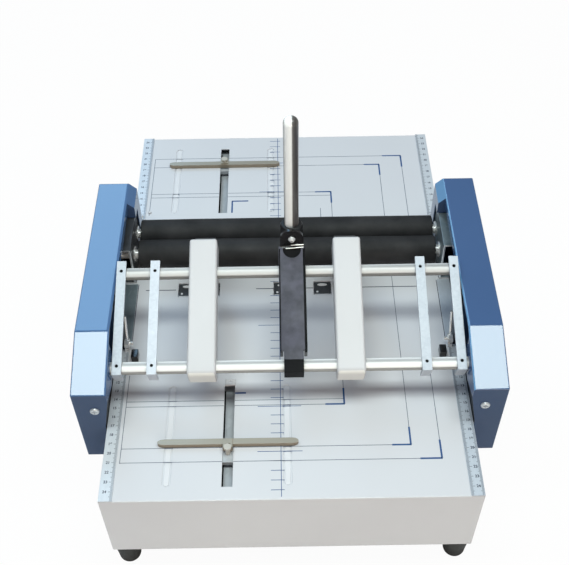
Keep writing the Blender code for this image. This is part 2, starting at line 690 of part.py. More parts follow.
def make_rollers():
    for place, y, phase in (("front", FRONT_ROLLER_Y, 0.0), ("rear", REAR_ROLLER_Y, math.pi / GEAR_TEETH)):
        axis = (0, y, ROLLER_Z)
        pivot = add_pivot(place + "_roller_axis", axis)
        half = ROLLER_LENGTH / 2
        left_end = -(GEAR_INNER_X + GEAR_WIDTH + SHAFT_END)
        right_end = BRACKET_OUTER_X + BUSH_FLANGE + SHAFT_END
        rod("roller_shaft_" + place, (left_end, 0, 0), (right_end, 0, 0), ROLLER_SHAFT_RADIUS, CHROME, pivot)
        sleeve = rod("roller_rubber_" + place, (-half, 0, 0), (half, 0, 0), ROLLER_RADIUS, RUBBER, pivot)
        bore = rod("roller_bore_" + place, (-half - OVERRUN, 0, 0), (half + OVERRUN, 0, 0),
                   ROLLER_SHAFT_RADIUS + GAP, parent=pivot)
        subtract(sleeve, bore)
        hub = circle((0, 0), ROLLER_SHAFT_RADIUS + GAP)
        slab("roller_gear_" + place, [gear_outline(phase), hub], "X", -(GEAR_INNER_X + GEAR_WIDTH),
             -GEAR_INNER_X, STEEL, pivot)


def make_strips(pivot):
    low = ROD_RADIUS + GAP
    high = low + STRIP_THICKNESS
    front = -(ROD_RADIUS + GAP)
    outline = [(front - STRIP_THICKNESS, high), (front - STRIP_THICKNESS, -STRIP_TAB_DROP),
               (front, -STRIP_TAB_DROP), (front, low), (STRIP_REAR, low), (STRIP_REAR, high)]
    for name, x in (("outer_left", -OUTER_STRIP_X), ("inner_left", -INNER_STRIP_X),
                    ("inner_right", INNER_STRIP_X), ("outer_right", OUTER_STRIP_X)):
        strip = slab("strip_" + name, [outline], "X", x - STRIP_WIDTH / 2, x + STRIP_WIDTH / 2, ZINC, pivot)
        for place, along in (("front", 0.0), ("rear", ROD_SPACING)):
            hole = rod("strip_hole_%s_%s" % (name, place), (x, along, low - OVERRUN),
                       (x, along, high + OVERRUN), STRIP_HOLE_RADIUS, parent=pivot, sides=SMALL_SIDES)
            subtract(strip, hole)
        if name.startswith("outer"):
            add_link_lug(strip, name, math.copysign(1, x), low, pivot)


def add_link_lug(strip, name, sign, low, pivot):
    # A lug under the outer bar carries the pin of the drive link
    outer = OUTER_STRIP_X + STRIP_WIDTH / 2
    xs = sorted((sign * outer, sign * (outer - LUG_THICKNESS)))
    loop = arc((LINK_RADIUS_AT, -LINK_PIN_BELOW), LUG_HALF, math.pi, math.tau, LUG_STEPS)
    loop += [(LINK_RADIUS_AT + LUG_HALF, low + STRIP_THICKNESS / 2),
             (LINK_RADIUS_AT - LUG_HALF, low + STRIP_THICKNESS / 2)]
    lug = slab("link_lug_" + name, [loop], "X", xs[0], xs[1], parent=pivot)
    pin = rod("link_pin_" + name, (sign * (outer - LUG_THICKNESS / 2), LINK_RADIUS_AT, -LINK_PIN_BELOW),
              (sign * (LINK_OUTER_X + SHAFT_END / 2), LINK_RADIUS_AT, -LINK_PIN_BELOW), LINK_PIN_RADIUS,
              parent=pivot, sides=SMALL_SIDES)
    unite(strip, lug, pin)


def make_lever(pivot):
    # Folded sheet: a top with two side walls, a narrow tongue over the pivot shaft and an ear at the rear
    under = ROD_RADIUS + 2 * GAP
    top = under + LEVER_SHEET
    half = LEVER_WIDTH / 2
    inner = half - LEVER_SHEET
    tongue = LEVER_TONGUE_WIDTH / 2
    front = -(ROD_RADIUS + GAP)
    tip = front - LEVER_SHEET
    bottom = -LEVER_WALL_DROP
    lever = box("lever_arm", (LEVER_X - half, tip, bottom), (LEVER_X + half, LEVER_REAR, top),
                BLACK_PAINT, pivot)
    channel = box("lever_channel", (LEVER_X - inner, front, bottom - OVERRUN),
                  (LEVER_X + inner, LEVER_REAR + OVERRUN, under), parent=pivot)
    wall_end = box("lever_wall_end", (LEVER_X - half - OVERRUN, LEVER_WALL_REAR, bottom - OVERRUN),
                   (LEVER_X + half + OVERRUN, LEVER_REAR + OVERRUN, under), parent=pivot)
    tab_end = box("lever_tab_end", (LEVER_X - half - OVERRUN, tip - OVERRUN, bottom - OVERRUN),
                  (LEVER_X + half + OVERRUN, 0, -LEVER_TAB_DROP), parent=pivot)
    subtract(lever, channel, wall_end, tab_end)
    for side, sign in (("left", -1), ("right", 1)):
        xs = sorted((LEVER_X + sign * tongue, LEVER_X + sign * (half + OVERRUN)))
        notch = box("lever_notch_" + side, (xs[0], tip - OVERRUN, bottom - OVERRUN),
                    (xs[1], LEVER_WALL_FRONT, top + OVERRUN), parent=pivot)
        subtract(lever, notch)
    ear_low = TABLE_TOP + EAR_FOOT_RISE
    loop = arc((LEVER_X, EAR_Z), EAR_RADIUS, 0, math.pi, EAR_STEPS)
    loop += [(LEVER_X - EAR_RADIUS, ear_low), (LEVER_X + EAR_RADIUS, ear_low)]
    bolt_hole = circle((LEVER_X, EAR_Z), HANDLE_BOLT_RADIUS + RUN_GAP, SMALL_SIDES)
    ear = slab("lever_ear", [loop, bolt_hole], "Y", EAR_Y - LEVER_SHEET / 2, EAR_Y + LEVER_SHEET / 2)
    rod_hole = rod("lever_rod_hole", (LEVER_X - LEVER_WIDTH, ROD_SPACING, 0),
                   (LEVER_X + LEVER_WIDTH, ROD_SPACING, 0), ROD_RADIUS + GAP, parent=pivot)
    subtract(lever, rod_hole)
    unite(lever, ear)


def make_press_frame():
    pivot = add_pivot("press_pivot", (0, PIVOT_Y, PIVOT_Z), REST_ANGLE)
    rod("pivot_shaft", (-PIVOT_SHAFT_HALF, 0, 0), (PIVOT_SHAFT_HALF, 0, 0), ROD_RADIUS, CHROME, pivot)
    rod("rear_rod", (-REAR_ROD_HALF, ROD_SPACING, 0), (REAR_ROD_HALF, ROD_SPACING, 0), ROD_RADIUS, CHROME,
        pivot)
    make_strips(pivot)
    make_lever(pivot)
    make_sector()
    return pivot


def make_sector():
    origin = (0, PIVOT_Y, PIVOT_Z)
    low, high = -(SECTOR_INNER_X + SECTOR_THICKNESS), -SECTOR_INNER_X
    sector = slab("drive_sector", [sector_outline()], "X", low, high, STEEL, origin=origin)
    middle = MESH_ANGLE + PRESS_STROKE / 2
    reach = SECTOR_PITCH_RADIUS - DEDENDUM_SHARE * GEAR_MODULE - SECTOR_RIM / 2
    tip = (reach * math.cos(middle), reach * math.sin(middle))
    loop = arm((0, 0), SECTOR_HUB_RADIUS, tip, SECTOR_ARM_END_RADIUS)
    web = slab("sector_web", [loop], "X", low, high, origin=origin)
    unite(sector, web)
    bore = rod("sector_bore", (low - OVERRUN, PIVOT_Y, PIVOT_Z), (high + OVERRUN, PIVOT_Y, PIVOT_Z),
               ROD_RADIUS + GAP)
    subtract(sector, bore)


def make_handle():
    origin = (LEVER_X, EAR_Y, EAR_Z)
    pivot = add_pivot("handle_pivot", origin)
    bottom = SOCKET_BOTTOM_RISE - EAR_RISE
    top = SOCKET_TOP_RISE - EAR_RISE
    tube_top = TUBE_TOP_RISE - EAR_RISE
    y = SOCKET_Y - EAR_Y
    socket = rod("handle_socket", (0, y, bottom), (0, y, top), SOCKET_RADIUS, BLACK_PAINT, pivot)
    round_edges(socket, SOCKET_ROUND)
    seat = rod("handle_seat", (0, y, bottom + TUBE_SEAT), (0, y, top + OVERRUN), TUBE_RADIUS + GAP,
               parent=pivot)
    screw_hole = rod("handle_screw_hole", (0, 0, 0), (0, y - TUBE_RADIUS + GAP, 0),
                     HANDLE_BOLT_RADIUS + RUN_GAP, parent=pivot, sides=SMALL_SIDES)
    subtract(socket, seat, screw_hole)
    tube = rod("handle_tube", (0, y, bottom + TUBE_SEAT + GAP), (0, y, tube_top), TUBE_RADIUS, CHROME, pivot)
    round_edges(tube, TUBE_ROUND)
    face = -(LEVER_SHEET / 2 + GAP)
    bolt = rod("handle_bolt", (0, face - HANDLE_BOLT_HEAD, 0), (0, face, 0), HANDLE_BOLT_HEAD_RADIUS / 2,
               CHROME, pivot, sides=SMALL_SIDES, end_radius=HANDLE_BOLT_HEAD_RADIUS)
    shank = rod("handle_bolt_shank", (0, face - GAP, 0), (0, LEVER_SHEET / 2 + HANDLE_BOLT_REACH - GAP, 0),
                HANDLE_BOLT_RADIUS, parent=pivot, sides=SMALL_SIDES)
    unite(bolt, shank)


def make_stapler(side, x, pivot):
    slide = add_pivot("stapler_slide_" + side, (x, 0, 0), parent=pivot)
    half = STAPLER_COVER_WIDTH / 2
    inner = half - COVER_WALL
    cover = box("stapler_cover_" + side, (-half, COVER_FRONT, -COVER_DROP), (half, COVER_REAR, COVER_TOP),
                IVORY, slide)
    round_edges(cover, COVER_EDGE_RADIUS)
    hollow = box("cover_hollow_" + side, (-inner, COVER_FRONT + COVER_WALL, -COVER_DROP - OVERRUN),
                 (inner, COVER_REAR - COVER_WALL, COVER_TOP - COVER_WALL), parent=slide)
    subtract(cover, hollow)
    body_half = inner - BODY_SIDE_GAP
    body = box("stapler_body_" + side, (-body_half, BODY_FRONT, -BODY_DROP),
               (body_half, COVER_REAR - COVER_WALL - BODY_SIDE_GAP, BODY_TOP), BLACK_PAINT, slide)
    shelf_top = -(COVER_DROP + GAP)
    rear = STAPLE_REACH + NOSE_LENGTH / 2
    neck_rear = COVER_REAR - COVER_WALL - 2 * BODY_SIDE_GAP
    neck = box("stapler_neck_" + side, (-body_half, NECK_FRONT, -SHELF_DROP),
               (body_half, neck_rear, -BODY_DROP + OVERRUN / 2), parent=slide)
    shelf = box("stapler_shelf_" + side, (-body_half, NECK_FRONT + COVER_WALL, -SHELF_DROP),
                (body_half, rear, shelf_top), parent=slide)
    pressed = REST_ANGLE - PRESS_STROKE
    nose_bottom = (NOSE_CLEARANCE - PIVOT_RISE - STAPLE_REACH * math.sin(pressed)) / math.cos(pressed)
    nose = box("stapler_nose_" + side, (-NOSE_WIDTH / 2, STAPLE_REACH - NOSE_LENGTH / 2, nose_bottom),
               (NOSE_WIDTH / 2, rear, -SHELF_DROP + OVERRUN), parent=slide)
    unite(body, neck, shelf, nose)
    for piece, holes in ((cover, (0.0, ROD_SPACING)), (body, (ROD_SPACING,))):
        for number, along in enumerate(holes):
            bore = rod("%s_bore_%d" % (piece.name, number), (-STAPLER_COVER_WIDTH, along, 0),
                       (STAPLER_COVER_WIDTH, along, 0), ROD_RADIUS + RUN_GAP, parent=slide)
            subtract(piece, bore)


def make_links():
    # Each link hangs from the press frame and pushes a rocker arm down through a slot in the table
    y, z = frame_point(LINK_RADIUS_AT, -LINK_PIN_BELOW)
    foot_y = ROCKER_SHAFT_Y - ROCKER_RADIUS * math.cos(ROCKER_REST)
    foot_z = ROCKER_SHAFT_Z + ROCKER_RADIUS * math.sin(ROCKER_REST)
    foot = (foot_y - y, foot_z - z)
    for side, sign in (("left", -1), ("right", 1)):
        xs = sorted((sign * LINK_INNER_X, sign * LINK_OUTER_X))
        loop = arm((0, 0), LINK_EYE_RADIUS, foot, LINK_FOOT_RADIUS, LINK_STEPS)
        top_hole = circle((0, 0), LINK_PIN_RADIUS + RUN_GAP, SMALL_SIDES)
        foot_hole = circle(foot, LINK_FREE_HOLE, SMALL_SIDES)
        slab("drive_link_" + side, [loop, top_hole, foot_hole], "X", xs[0], xs[1], CHROME, origin=(0, y, z))


def make_rocker():
    # One welded piece: a cross shaft, two front arms for the links and two rear arms for the knife
    origin = (0, ROCKER_SHAFT_Y, ROCKER_SHAFT_Z)
    half = FRONT_ARM_INNER_X + ROCKER_ARM_THICKNESS + SHAFT_END / 2
    rocker = rod("rocker_shaft", (-half, ROCKER_SHAFT_Y, ROCKER_SHAFT_Z),
                 (half, ROCKER_SHAFT_Y, ROCKER_SHAFT_Z), ROCKER_SHAFT_RADIUS, STEEL, origin=origin)
    front_tip = (-ROCKER_RADIUS * math.cos(ROCKER_REST), ROCKER_RADIUS * math.sin(ROCKER_REST))
    rear_tip = (LIFT_RADIUS * math.cos(ROCKER_REST), -LIFT_RADIUS * math.sin(ROCKER_REST))
    front_pin_end = LINK_OUTER_X + SHAFT_END / 2
    lift_pin_end = LUG_X + ROCKER_ARM_THICKNESS + SHAFT_END / 2
    arms = (("rocker_arm_", FRONT_ARM_INNER_X, front_tip, front_pin_end),
            ("lift_arm_", LIFT_ARM_INNER_X, rear_tip, lift_pin_end))
    for side, sign in (("left", -1), ("right", 1)):
        for name, inner, tip, pin_end in arms:
            outer = inner + ROCKER_ARM_THICKNESS
            xs = sorted((sign * inner, sign * outer))
            plate = slab(name + side, [arm((0, 0), ROCKER_EYE_RADIUS, tip, ROCKER_TIP_RADIUS)], "X",
                         xs[0], xs[1], origin=origin)
            y = ROCKER_SHAFT_Y + tip[0]
            z = ROCKER_SHAFT_Z + tip[1]
            pin = rod(name + "pin_" + side, (sign * (inner + ROCKER_ARM_THICKNESS / 2), y, z),
                      (sign * pin_end, y, z), LINK_PIN_RADIUS, sides=SMALL_SIDES)
            unite(rocker, plate, pin)
        xs = sorted((sign * (BEARING_X - BEARING_WIDTH / 2), sign * (BEARING_X + BEARING_WIDTH / 2)))
        block = box("rocker_bearing_" + side,
                    (xs[0], ROCKER_SHAFT_Y - BEARING_LENGTH / 2, PLATE_TOP + GAP),
                    (xs[1], ROCKER_SHAFT_Y + BEARING_LENGTH / 2, ROCKER_SHAFT_Z + BEARING_HEAD), ZINC)
        hole = rod("bearing_bore_" + side, (xs[0] - OVERRUN, ROCKER_SHAFT_Y, ROCKER_SHAFT_Z),
                   (xs[1] + OVERRUN, ROCKER_SHAFT_Y, ROCKER_SHAFT_Z), ROCKER_SHAFT_RADIUS + RUN_GAP)
        subtract(block, hole)


def make_knife():
    lift = add_pivot("knife_lift", (0, NIP_Y, CARRIER_TOP))
    top = TABLE_TOP - KNIFE_REST_DROP - CARRIER_TOP
    half = KNIFE_LENGTH / 2
    box("knife_blade", (-half, -KNIFE_THICKNESS / 2, GAP), (half, KNIFE_THICKNESS / 2, top), STEEL, lift)
    carrier = box("knife_carrier", (-CARRIER_HALF, -CARRIER_WIDTH / 2, -CARRIER_HEIGHT),
                  (CARRIER_HALF, CARRIER_WIDTH / 2, 0), ZINC, lift)
    slot_z = ROCKER_SHAFT_Z - LIFT_RADIUS * math.sin(ROCKER_REST) - CARRIER_TOP
    reach = LIFT_RADIUS * (1 + math.cos(ROCKER_REST)) / 2
    slot_y = ROCKER_SHAFT_Y + reach - NIP_Y
    for side, sign in (("left", -1), ("right", 1)):
        xs = sorted((sign * LUG_X, sign * (LUG_X + ROCKER_ARM_THICKNESS)))
        lug_low = -CARRIER_HEIGHT - CARRIER_LUG_DROP
        lug = box("carrier_lug_" + side, (xs[0], slot_y - CARRIER_LUG_WIDTH / 2, lug_low),
                  (xs[1], slot_y + CARRIER_LUG_WIDTH / 2, -CARRIER_HEIGHT / 2), parent=lift)
        unite(carrier, lug)
        loop = slot_outline((slot_y, slot_z), LIFT_SLOT_LENGTH, LIFT_SLOT_HEIGHT, upright=False)
        opening = slab("carrier_slot_" + side, [loop], "X", xs[0] - OVERRUN, xs[1] + OVERRUN, parent=lift)
        guide_hole = rod("guide_hole_" + side, (sign * GUIDE_X, 0, -CARRIER_HEIGHT - OVERRUN),
                         (sign * GUIDE_X, 0, OVERRUN), GUIDE_RADIUS + RUN_GAP, parent=lift)
        subtract(carrier, opening, guide_hole)
        rod("knife_guide_" + side, (sign * GUIDE_X, NIP_Y, PLATE_TOP + GAP),
            (sign * GUIDE_X, NIP_Y, TABLE_UNDER - GAP), GUIDE_RADIUS, STEEL)
        make_spring(side, sign * SPRING_X)


def spring_route(bottom, top):
    # A coil with a short straight end at each side
    coil_low = bottom + SPRING_TAIL
    coil_high = top - SPRING_TAIL
    count = SPRING_TURNS * SPRING_POINTS
    route = [Vector((SPRING_RADIUS, 0, bottom))]
    for i in range(count + 1):
        angle = math.tau * i / SPRING_POINTS
        height = coil_low + (coil_high - coil_low) * i / count
        route.append(Vector((SPRING_RADIUS * math.cos(angle), SPRING_RADIUS * math.sin(angle), height)))
    route.append(Vector((SPRING_RADIUS, 0, top)))
    return route


def print_least_gap(name, route):
    # The coil's least gap to itself, measured between points at least half a turn apart
    apart = SPRING_POINTS // 2
    gaps = [(route[j] - route[i]).length - 2 * SPRING_WIRE
            for i in range(len(route)) for j in range(i + apart, len(route))]
    print(name, "least gap to itself: %.2f mm" % (min(gaps) / MILLIMETRE))


def make_spring(side, x):
    # Each spring pulls the knife down and so lifts the press frame and its handle
    bottom = PLATE_TOP + GAP
    top = CARRIER_BOTTOM - GAP
    route = spring_route(0.0, top - bottom)
    print_least_gap("return_spring_" + side, route)
    curve = bpy.data.curves.new("return_spring_" + side, "CURVE")
    curve.dimensions = "3D"
    curve.bevel_depth = SPRING_WIRE
    curve.bevel_resolution = 1
    curve.use_fill_caps = True
    spline = curve.splines.new("POLY")
    spline.points.add(len(route) - 1)
    for point, place in zip(spline.points, route):
        point.co = (*place, 1)
    drawn = bpy.data.objects.new("spring_wire_" + side, curve)
    bpy.context.scene.collection.objects.link(drawn)
    mesh = bpy.data.meshes.new_from_object(drawn.evaluated_get(bpy.context.evaluated_depsgraph_get()))
    bpy.data.objects.remove(drawn)
    bm = bmesh.new()
    bm.from_mesh(mesh)
    bmesh.ops.remove_doubles(bm, verts=bm.verts, dist=WELD_DISTANCE)
    bm.to_mesh(mesh)
    bm.free()
    shade(mesh)
    add_object("return_spring_" + side, mesh, STEEL, origin=(x, NIP_Y, bottom))


def make_side_frames():
    inner = HALF_WIDTH + FRAME_GAP
    outer = inner + FRAME_SHEET
    bottom = TABLE_TOP - FRAME_BOTTOM_DROP
    rail = TABLE_TOP - FRAME_RAIL_DROP
    boss = arc((PIVOT_Y, PIVOT_Z), FRAME_BOSS_RADIUS, 0, math.pi, FRAME_STEPS)
    tab_z = TABLE_TOP + COVER_SCREW_RISE
    loop = [(FRAME_FRONT_Y, bottom), (FRAME_REAR_Y, bottom), (FRAME_REAR_Y, rail), (FRAME_SHOULDER_Y, rail)]
    loop += boss
    loop += [(FRAME_FRONT_Y, tab_z + FRAME_TAB_HALF)]
    bore = circle((PIVOT_Y, PIVOT_Z), ROD_RADIUS + RUN_GAP)
    for side, sign in (("left", -1), ("right", 1)):
        xs = sorted((sign * inner, sign * outer))
        frame = slab("side_frame_" + side, [loop, bore], "X", xs[0], xs[1], ZINC)
        tab_xs = sorted((sign * (inner + FRAME_SHEET / 2), sign * (COVER_OUTER_X - 2 * SIDE_SHEET)))
        tab = box("frame_tab_" + side, (tab_xs[0], FRAME_FRONT_Y, tab_z - FRAME_TAB_HALF),
                  (tab_xs[1], FRAME_FRONT_Y + FRAME_TAB_THICKNESS, tab_z + FRAME_TAB_HALF))
        unite(frame, tab)
        x = sign * COVER_SCREW_X
        hole = rod("frame_screw_hole_" + side, (x, FRAME_FRONT_Y - OVERRUN, tab_z),
                   (x, FRAME_FRONT_Y + OVERRUN, tab_z), COVER_SCREW_RADIUS + GAP, sides=SMALL_SIDES)
        subtract(frame, hole)


def make_side_covers():
    top = TABLE_TOP + COVER_TOP_RISE
    chamfer = TABLE_TOP + COVER_CHAMFER_RISE
    bottom = TABLE_TOP - COVER_BOTTOM_DROP
    sheet = SIDE_SHEET
    slope = math.atan2(top - chamfer, COVER_CHAMFER_Y - COVER_FRONT_Y)
    shift = sheet * math.tan((math.pi / 2 - slope) / 2)
    lean = sheet * math.tan(slope / 2)
    outline = [(COVER_FRONT_Y, bottom), (COVER_REAR_Y, bottom), (COVER_REAR_Y, top), (COVER_CHAMFER_Y, top),
               (COVER_FRONT_Y, chamfer)]
    inside = [(COVER_FRONT_Y + sheet, bottom - OVERRUN), (COVER_REAR_Y - sheet, bottom - OVERRUN),
              (COVER_REAR_Y - sheet, top - sheet), (COVER_CHAMFER_Y + lean, top - sheet),
              (COVER_FRONT_Y + sheet, chamfer - shift)]
    table_low = TABLE_TOP + COVER_TABLE_GAP
    bevel = COVER_BEND + COVER_INNER_X - COVER_STEP_X
    inner_bevel = bevel - sheet * (2 - math.sqrt(2))
    bevel_low = TABLE_TOP + COVER_TABLE_GAP + BRACKET_HEIGHT / 2
    over_bracket = TABLE_TOP + BRACKET_HEIGHT + COVER_BRACKET_RISE
    lip = 2 * sheet
    lip_top = top - lip
    lip_front = top - (COVER_CHAMFER_Y - COVER_WINDOW_FRONT_Y) * math.tan(slope) - lip / math.cos(slope)
    lip_bend = COVER_CHAMFER_Y + lip * math.tan(slope / 2)
    window_rear = COVER_WINDOW_MIDDLE_Y + OVERRUN
    front_outline = [(COVER_WINDOW_FRONT_Y, bottom), (window_rear, bottom), (window_rear, lip_top),
                     (lip_bend, lip_top), (COVER_WINDOW_FRONT_Y, lip_front)]
    wall_low = TABLE_TOP + COVER_WALL_RISE
    wall_front = TABLE_TOP + COVER_WALL_FRONT_RISE
    window_end = COVER_WINDOW_FRONT_Y + OVERRUN
    low_outline = [(COVER_FRONT_Y + sheet, bottom), (window_end, bottom), (window_end, wall_low),
                   (COVER_WALL_BEND_Y, wall_low), (COVER_FRONT_Y + sheet, wall_front)]
    face_rear = COVER_FRONT_Y + sheet + OVERRUN
    for side, sign in (("left", -1), ("right", 1)):
        step = sign * COVER_STEP_X
        wall = sign * COVER_INNER_X
        shift_in = sign * sheet
        outer = sign * COVER_OUTER_X
        xs = sorted((step, outer))
        cover = slab("side_cover_" + side, [outline], "X", xs[0], xs[1], BLUE)
        bevel_inner_top(cover, step, bevel_low, bevel)
        notch_xs = sorted((step - sign * OVERRUN, wall))
        notch = box("cover_notch_" + side, (notch_xs[0], COVER_FRONT_Y - OVERRUN, bottom - OVERRUN),
                    (notch_xs[1], COVER_STEP_Y, top + OVERRUN))
        hollow_xs = sorted((step + shift_in, outer - shift_in))
        hollow = slab("side_hollow_" + side, [inside], "X", hollow_xs[0], hollow_xs[1])
        bevel_inner_top(hollow, step + shift_in, bevel_low, inner_bevel)
        kept_xs = sorted((step - sign * OVERRUN, wall + shift_in))
        kept = box("kept_wall_" + side, (kept_xs[0], COVER_FRONT_Y - OVERRUN, bottom - 2 * OVERRUN),
                   (kept_xs[1], COVER_STEP_Y + sheet, top + OVERRUN))
        subtract(hollow, kept)
        tray_xs = sorted((step - sign * OVERRUN, sign * (HALF_WIDTH + FRAME_GAP)))
        over_table = box("cover_over_table_" + side, (tray_xs[0], COVER_FRONT_Y - OVERRUN, bottom - OVERRUN),
                         (tray_xs[1], COVER_REAR_Y + OVERRUN, table_low))
        wall_xs = sorted((wall - sign * OVERRUN, wall + 2 * shift_in))
        rear_window = box("cover_window_rear_" + side, (wall_xs[0], COVER_WINDOW_MIDDLE_Y, bottom),
                          (wall_xs[1], COVER_STEP_Y, top - COVER_LIP))
        step_xs = sorted((step - sign * OVERRUN, wall + 2 * shift_in))
        step_window = box("cover_window_step_" + side, (step_xs[0], COVER_STEP_Y - sheet, bottom),
                          (step_xs[1], COVER_WINDOW_REAR_Y, over_bracket))
        front_window = slab("cover_window_front_" + side, [front_outline], "X", wall_xs[0], wall_xs[1])
        low_window = slab("cover_window_low_" + side, [low_outline], "X", wall_xs[0], wall_xs[1])
        table_edge = sign * (HALF_WIDTH + FRAME_GAP)
        past_wall = wall - sign * OVERRUN
        face_outline = [(past_wall, table_low - OVERRUN), (table_edge, table_low - OVERRUN),
                        (table_edge, table_low), (wall, wall_front), (past_wall, wall_front)]
        face_cut = slab("cover_face_cut_" + side, [face_outline], "Y", COVER_FRONT_Y - OVERRUN, face_rear)
        shaft_hole = rod("cover_shaft_hole_" + side, (wall_xs[0], PIVOT_Y, PIVOT_Z),
                         (wall_xs[1], PIVOT_Y, PIVOT_Z), COVER_SHAFT_HOLE)
        x = sign * COVER_SCREW_X
        z = TABLE_TOP + COVER_SCREW_RISE
        screw_hole = rod("cover_screw_hole_" + side, (x, COVER_FRONT_Y - OVERRUN, z),
                         (x, COVER_FRONT_Y + sheet + GAP, z), COVER_SCREW_RADIUS + GAP, sides=SMALL_SIDES)
        subtract(cover, notch, hollow, over_table, rear_window, step_window, front_window)
        subtract(cover, low_window, face_cut, shaft_hole, screw_hole)
        face = COVER_FRONT_Y - GAP
        head_radius = COVER_SCREW_HEAD_RADIUS
        screw = rod("cover_screw_" + side, (x, face - COVER_SCREW_HEAD, z), (x, face, z), head_radius / 2,
                    CHROME, sides=SMALL_SIDES, end_radius=head_radius)
        shank = rod("cover_screw_shank_" + side, (x, face - GAP, z),
                    (x, FRAME_FRONT_Y + 2 * FRAME_TAB_THICKNESS, z), COVER_SCREW_RADIUS, sides=SMALL_SIDES)
        unite(screw, shank)


def make_stop(place, x, y, outward):
    slide = add_pivot(place + "_stop_slide", (x, y, TABLE_TOP))
    half = STOP_LENGTH / 2
    side = STOP_WIDTH / 2
    turns = [math.pi / 2 * i / STOP_END_STEPS for i in range(-STOP_END_STEPS, STOP_END_STEPS + 1)]
    right_end = [(half - STOP_END + STOP_END * math.cos(a), side * math.sin(a)) for a in turns]
    outline = right_end + [(-x_end, -y_end) for x_end, y_end in right_end]
    low = GAP
    high = low + STOP_HEIGHT
    bar = slab(place + "_stop_bar", [outline], "Z", low, high, BRASS, slide)
    inner = side - STOP_SHEET
    hollow = box(place + "_stop_hollow", (-half + 2 * STOP_END, -inner, low - OVERRUN),
                 (half - 2 * STOP_END, inner, high - STOP_SHEET), parent=slide)
    clip_top = high + STOP_CLIP_SHEET
    clip_side = STOP_CLIP_WIDTH / 2
    ys = sorted((-outward * inner, outward * STOP_CLIP_REACH))
    clip_low = high - STOP_SHEET / 2
    clip = box(place + "_stop_clip", (-clip_side, ys[0], clip_low), (clip_side, ys[1], clip_top),
               parent=slide)
    leg_ys = sorted((outward * STOP_CLIP_REACH, outward * (STOP_CLIP_REACH - STOP_CLIP_SHEET)))
    leg = box(place + "_clip_leg", (-clip_side, leg_ys[0], low), (clip_side, leg_ys[1], high), parent=slide)
    screw_y = outward * STOP_SCREW_REACH
    hole = rod(place + "_stop_hole", (0, screw_y, low - GAP), (0, screw_y, clip_top + OVERRUN),
               STOP_BOLT_RADIUS + GAP, parent=slide, sides=SMALL_SIDES)
    subtract(bar, hollow)
    unite(bar, clip, leg)
    subtract(bar, hole)
    # The clamp screw and its square nut under the table count as one piece
    nut_top = -(TRAY_SHEET + GAP)
    nut_low = nut_top - STOP_NUT_THICKNESS
    head_low = clip_top + GAP
    screw = rod(place + "_stop_screw", (0, screw_y, head_low), (0, screw_y, head_low + STOP_HEAD_HEIGHT),
                STOP_HEAD_RADIUS, ZINC, slide, sides=HEX_SIDES)
    shank = rod(place + "_screw_shank", (0, screw_y, nut_low - GAP), (0, screw_y, head_low + GAP),
                STOP_BOLT_RADIUS, parent=slide, sides=SMALL_SIDES)
    nut_half = STOP_NUT_SIZE / 2
    nut = box(place + "_stop_nut", (-nut_half, screw_y - nut_half, nut_low),
              (nut_half, screw_y + nut_half, nut_top), parent=slide)
    unite(screw, shank, nut)


def build():
    global parts, cutters
    clear_scene()
    parts = make_collection("booklet_maker")
    cutters = make_collection("cutters")
    make_tray()
    make_bottom_and_feet()
    make_rulers()
    make_anvil_bar()
    make_roller_brackets()
    make_rollers()
    pivot = make_press_frame()
    make_handle()
    make_stapler("left", LEFT_STAPLER_X, pivot)
    make_stapler("right", RIGHT_STAPLER_X, pivot)
    make_links()
    make_rocker()
    make_knife()
    make_side_frames()
    make_side_covers()
    make_stop("front", FRONT_SLOT_X, FRONT_STOP_Y, -1)
    make_stop("rear", REAR_SLOT_X, REAR_STOP_Y, 1)
    bpy.context.view_layer.update()


build()
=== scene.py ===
import bpy
import json
import math
from mathutils import Matrix, Vector

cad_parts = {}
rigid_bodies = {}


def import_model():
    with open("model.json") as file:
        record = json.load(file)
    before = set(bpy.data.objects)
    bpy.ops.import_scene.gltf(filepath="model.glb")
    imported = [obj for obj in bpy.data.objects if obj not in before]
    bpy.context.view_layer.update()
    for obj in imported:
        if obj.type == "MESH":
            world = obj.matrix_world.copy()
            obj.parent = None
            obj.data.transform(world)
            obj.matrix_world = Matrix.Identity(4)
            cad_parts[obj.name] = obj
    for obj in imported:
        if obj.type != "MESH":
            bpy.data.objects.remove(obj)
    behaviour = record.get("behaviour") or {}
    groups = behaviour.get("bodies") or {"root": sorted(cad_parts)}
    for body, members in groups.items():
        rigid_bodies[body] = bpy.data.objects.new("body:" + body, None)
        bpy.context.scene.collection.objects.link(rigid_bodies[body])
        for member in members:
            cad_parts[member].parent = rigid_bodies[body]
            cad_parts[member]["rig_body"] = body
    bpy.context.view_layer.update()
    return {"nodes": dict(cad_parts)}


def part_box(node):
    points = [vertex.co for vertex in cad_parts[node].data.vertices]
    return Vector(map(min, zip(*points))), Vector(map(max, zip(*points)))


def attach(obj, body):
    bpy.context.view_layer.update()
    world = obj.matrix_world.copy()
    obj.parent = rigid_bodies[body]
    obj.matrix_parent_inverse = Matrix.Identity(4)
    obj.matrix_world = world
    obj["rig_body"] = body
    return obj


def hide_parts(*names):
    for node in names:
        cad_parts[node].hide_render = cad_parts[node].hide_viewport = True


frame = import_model()
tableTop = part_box("base_tray")[1].z
pressPivot = Vector((0, -0.134, tableTop + 0.045))
pressTilt = math.radians(19.6)  # the raised press frame leans up to the rear
rearRodAlong = 0.0955  # from the pivot line to the rear rod, along the press frame
sides = (("left", -1), ("right", 1))
corners = [(place, side, sign) for place in ("front", "rear") for side, sign in sides]
print("frame loaded, table top at %.3f m" % tableTop)


# Small helpers for modelling

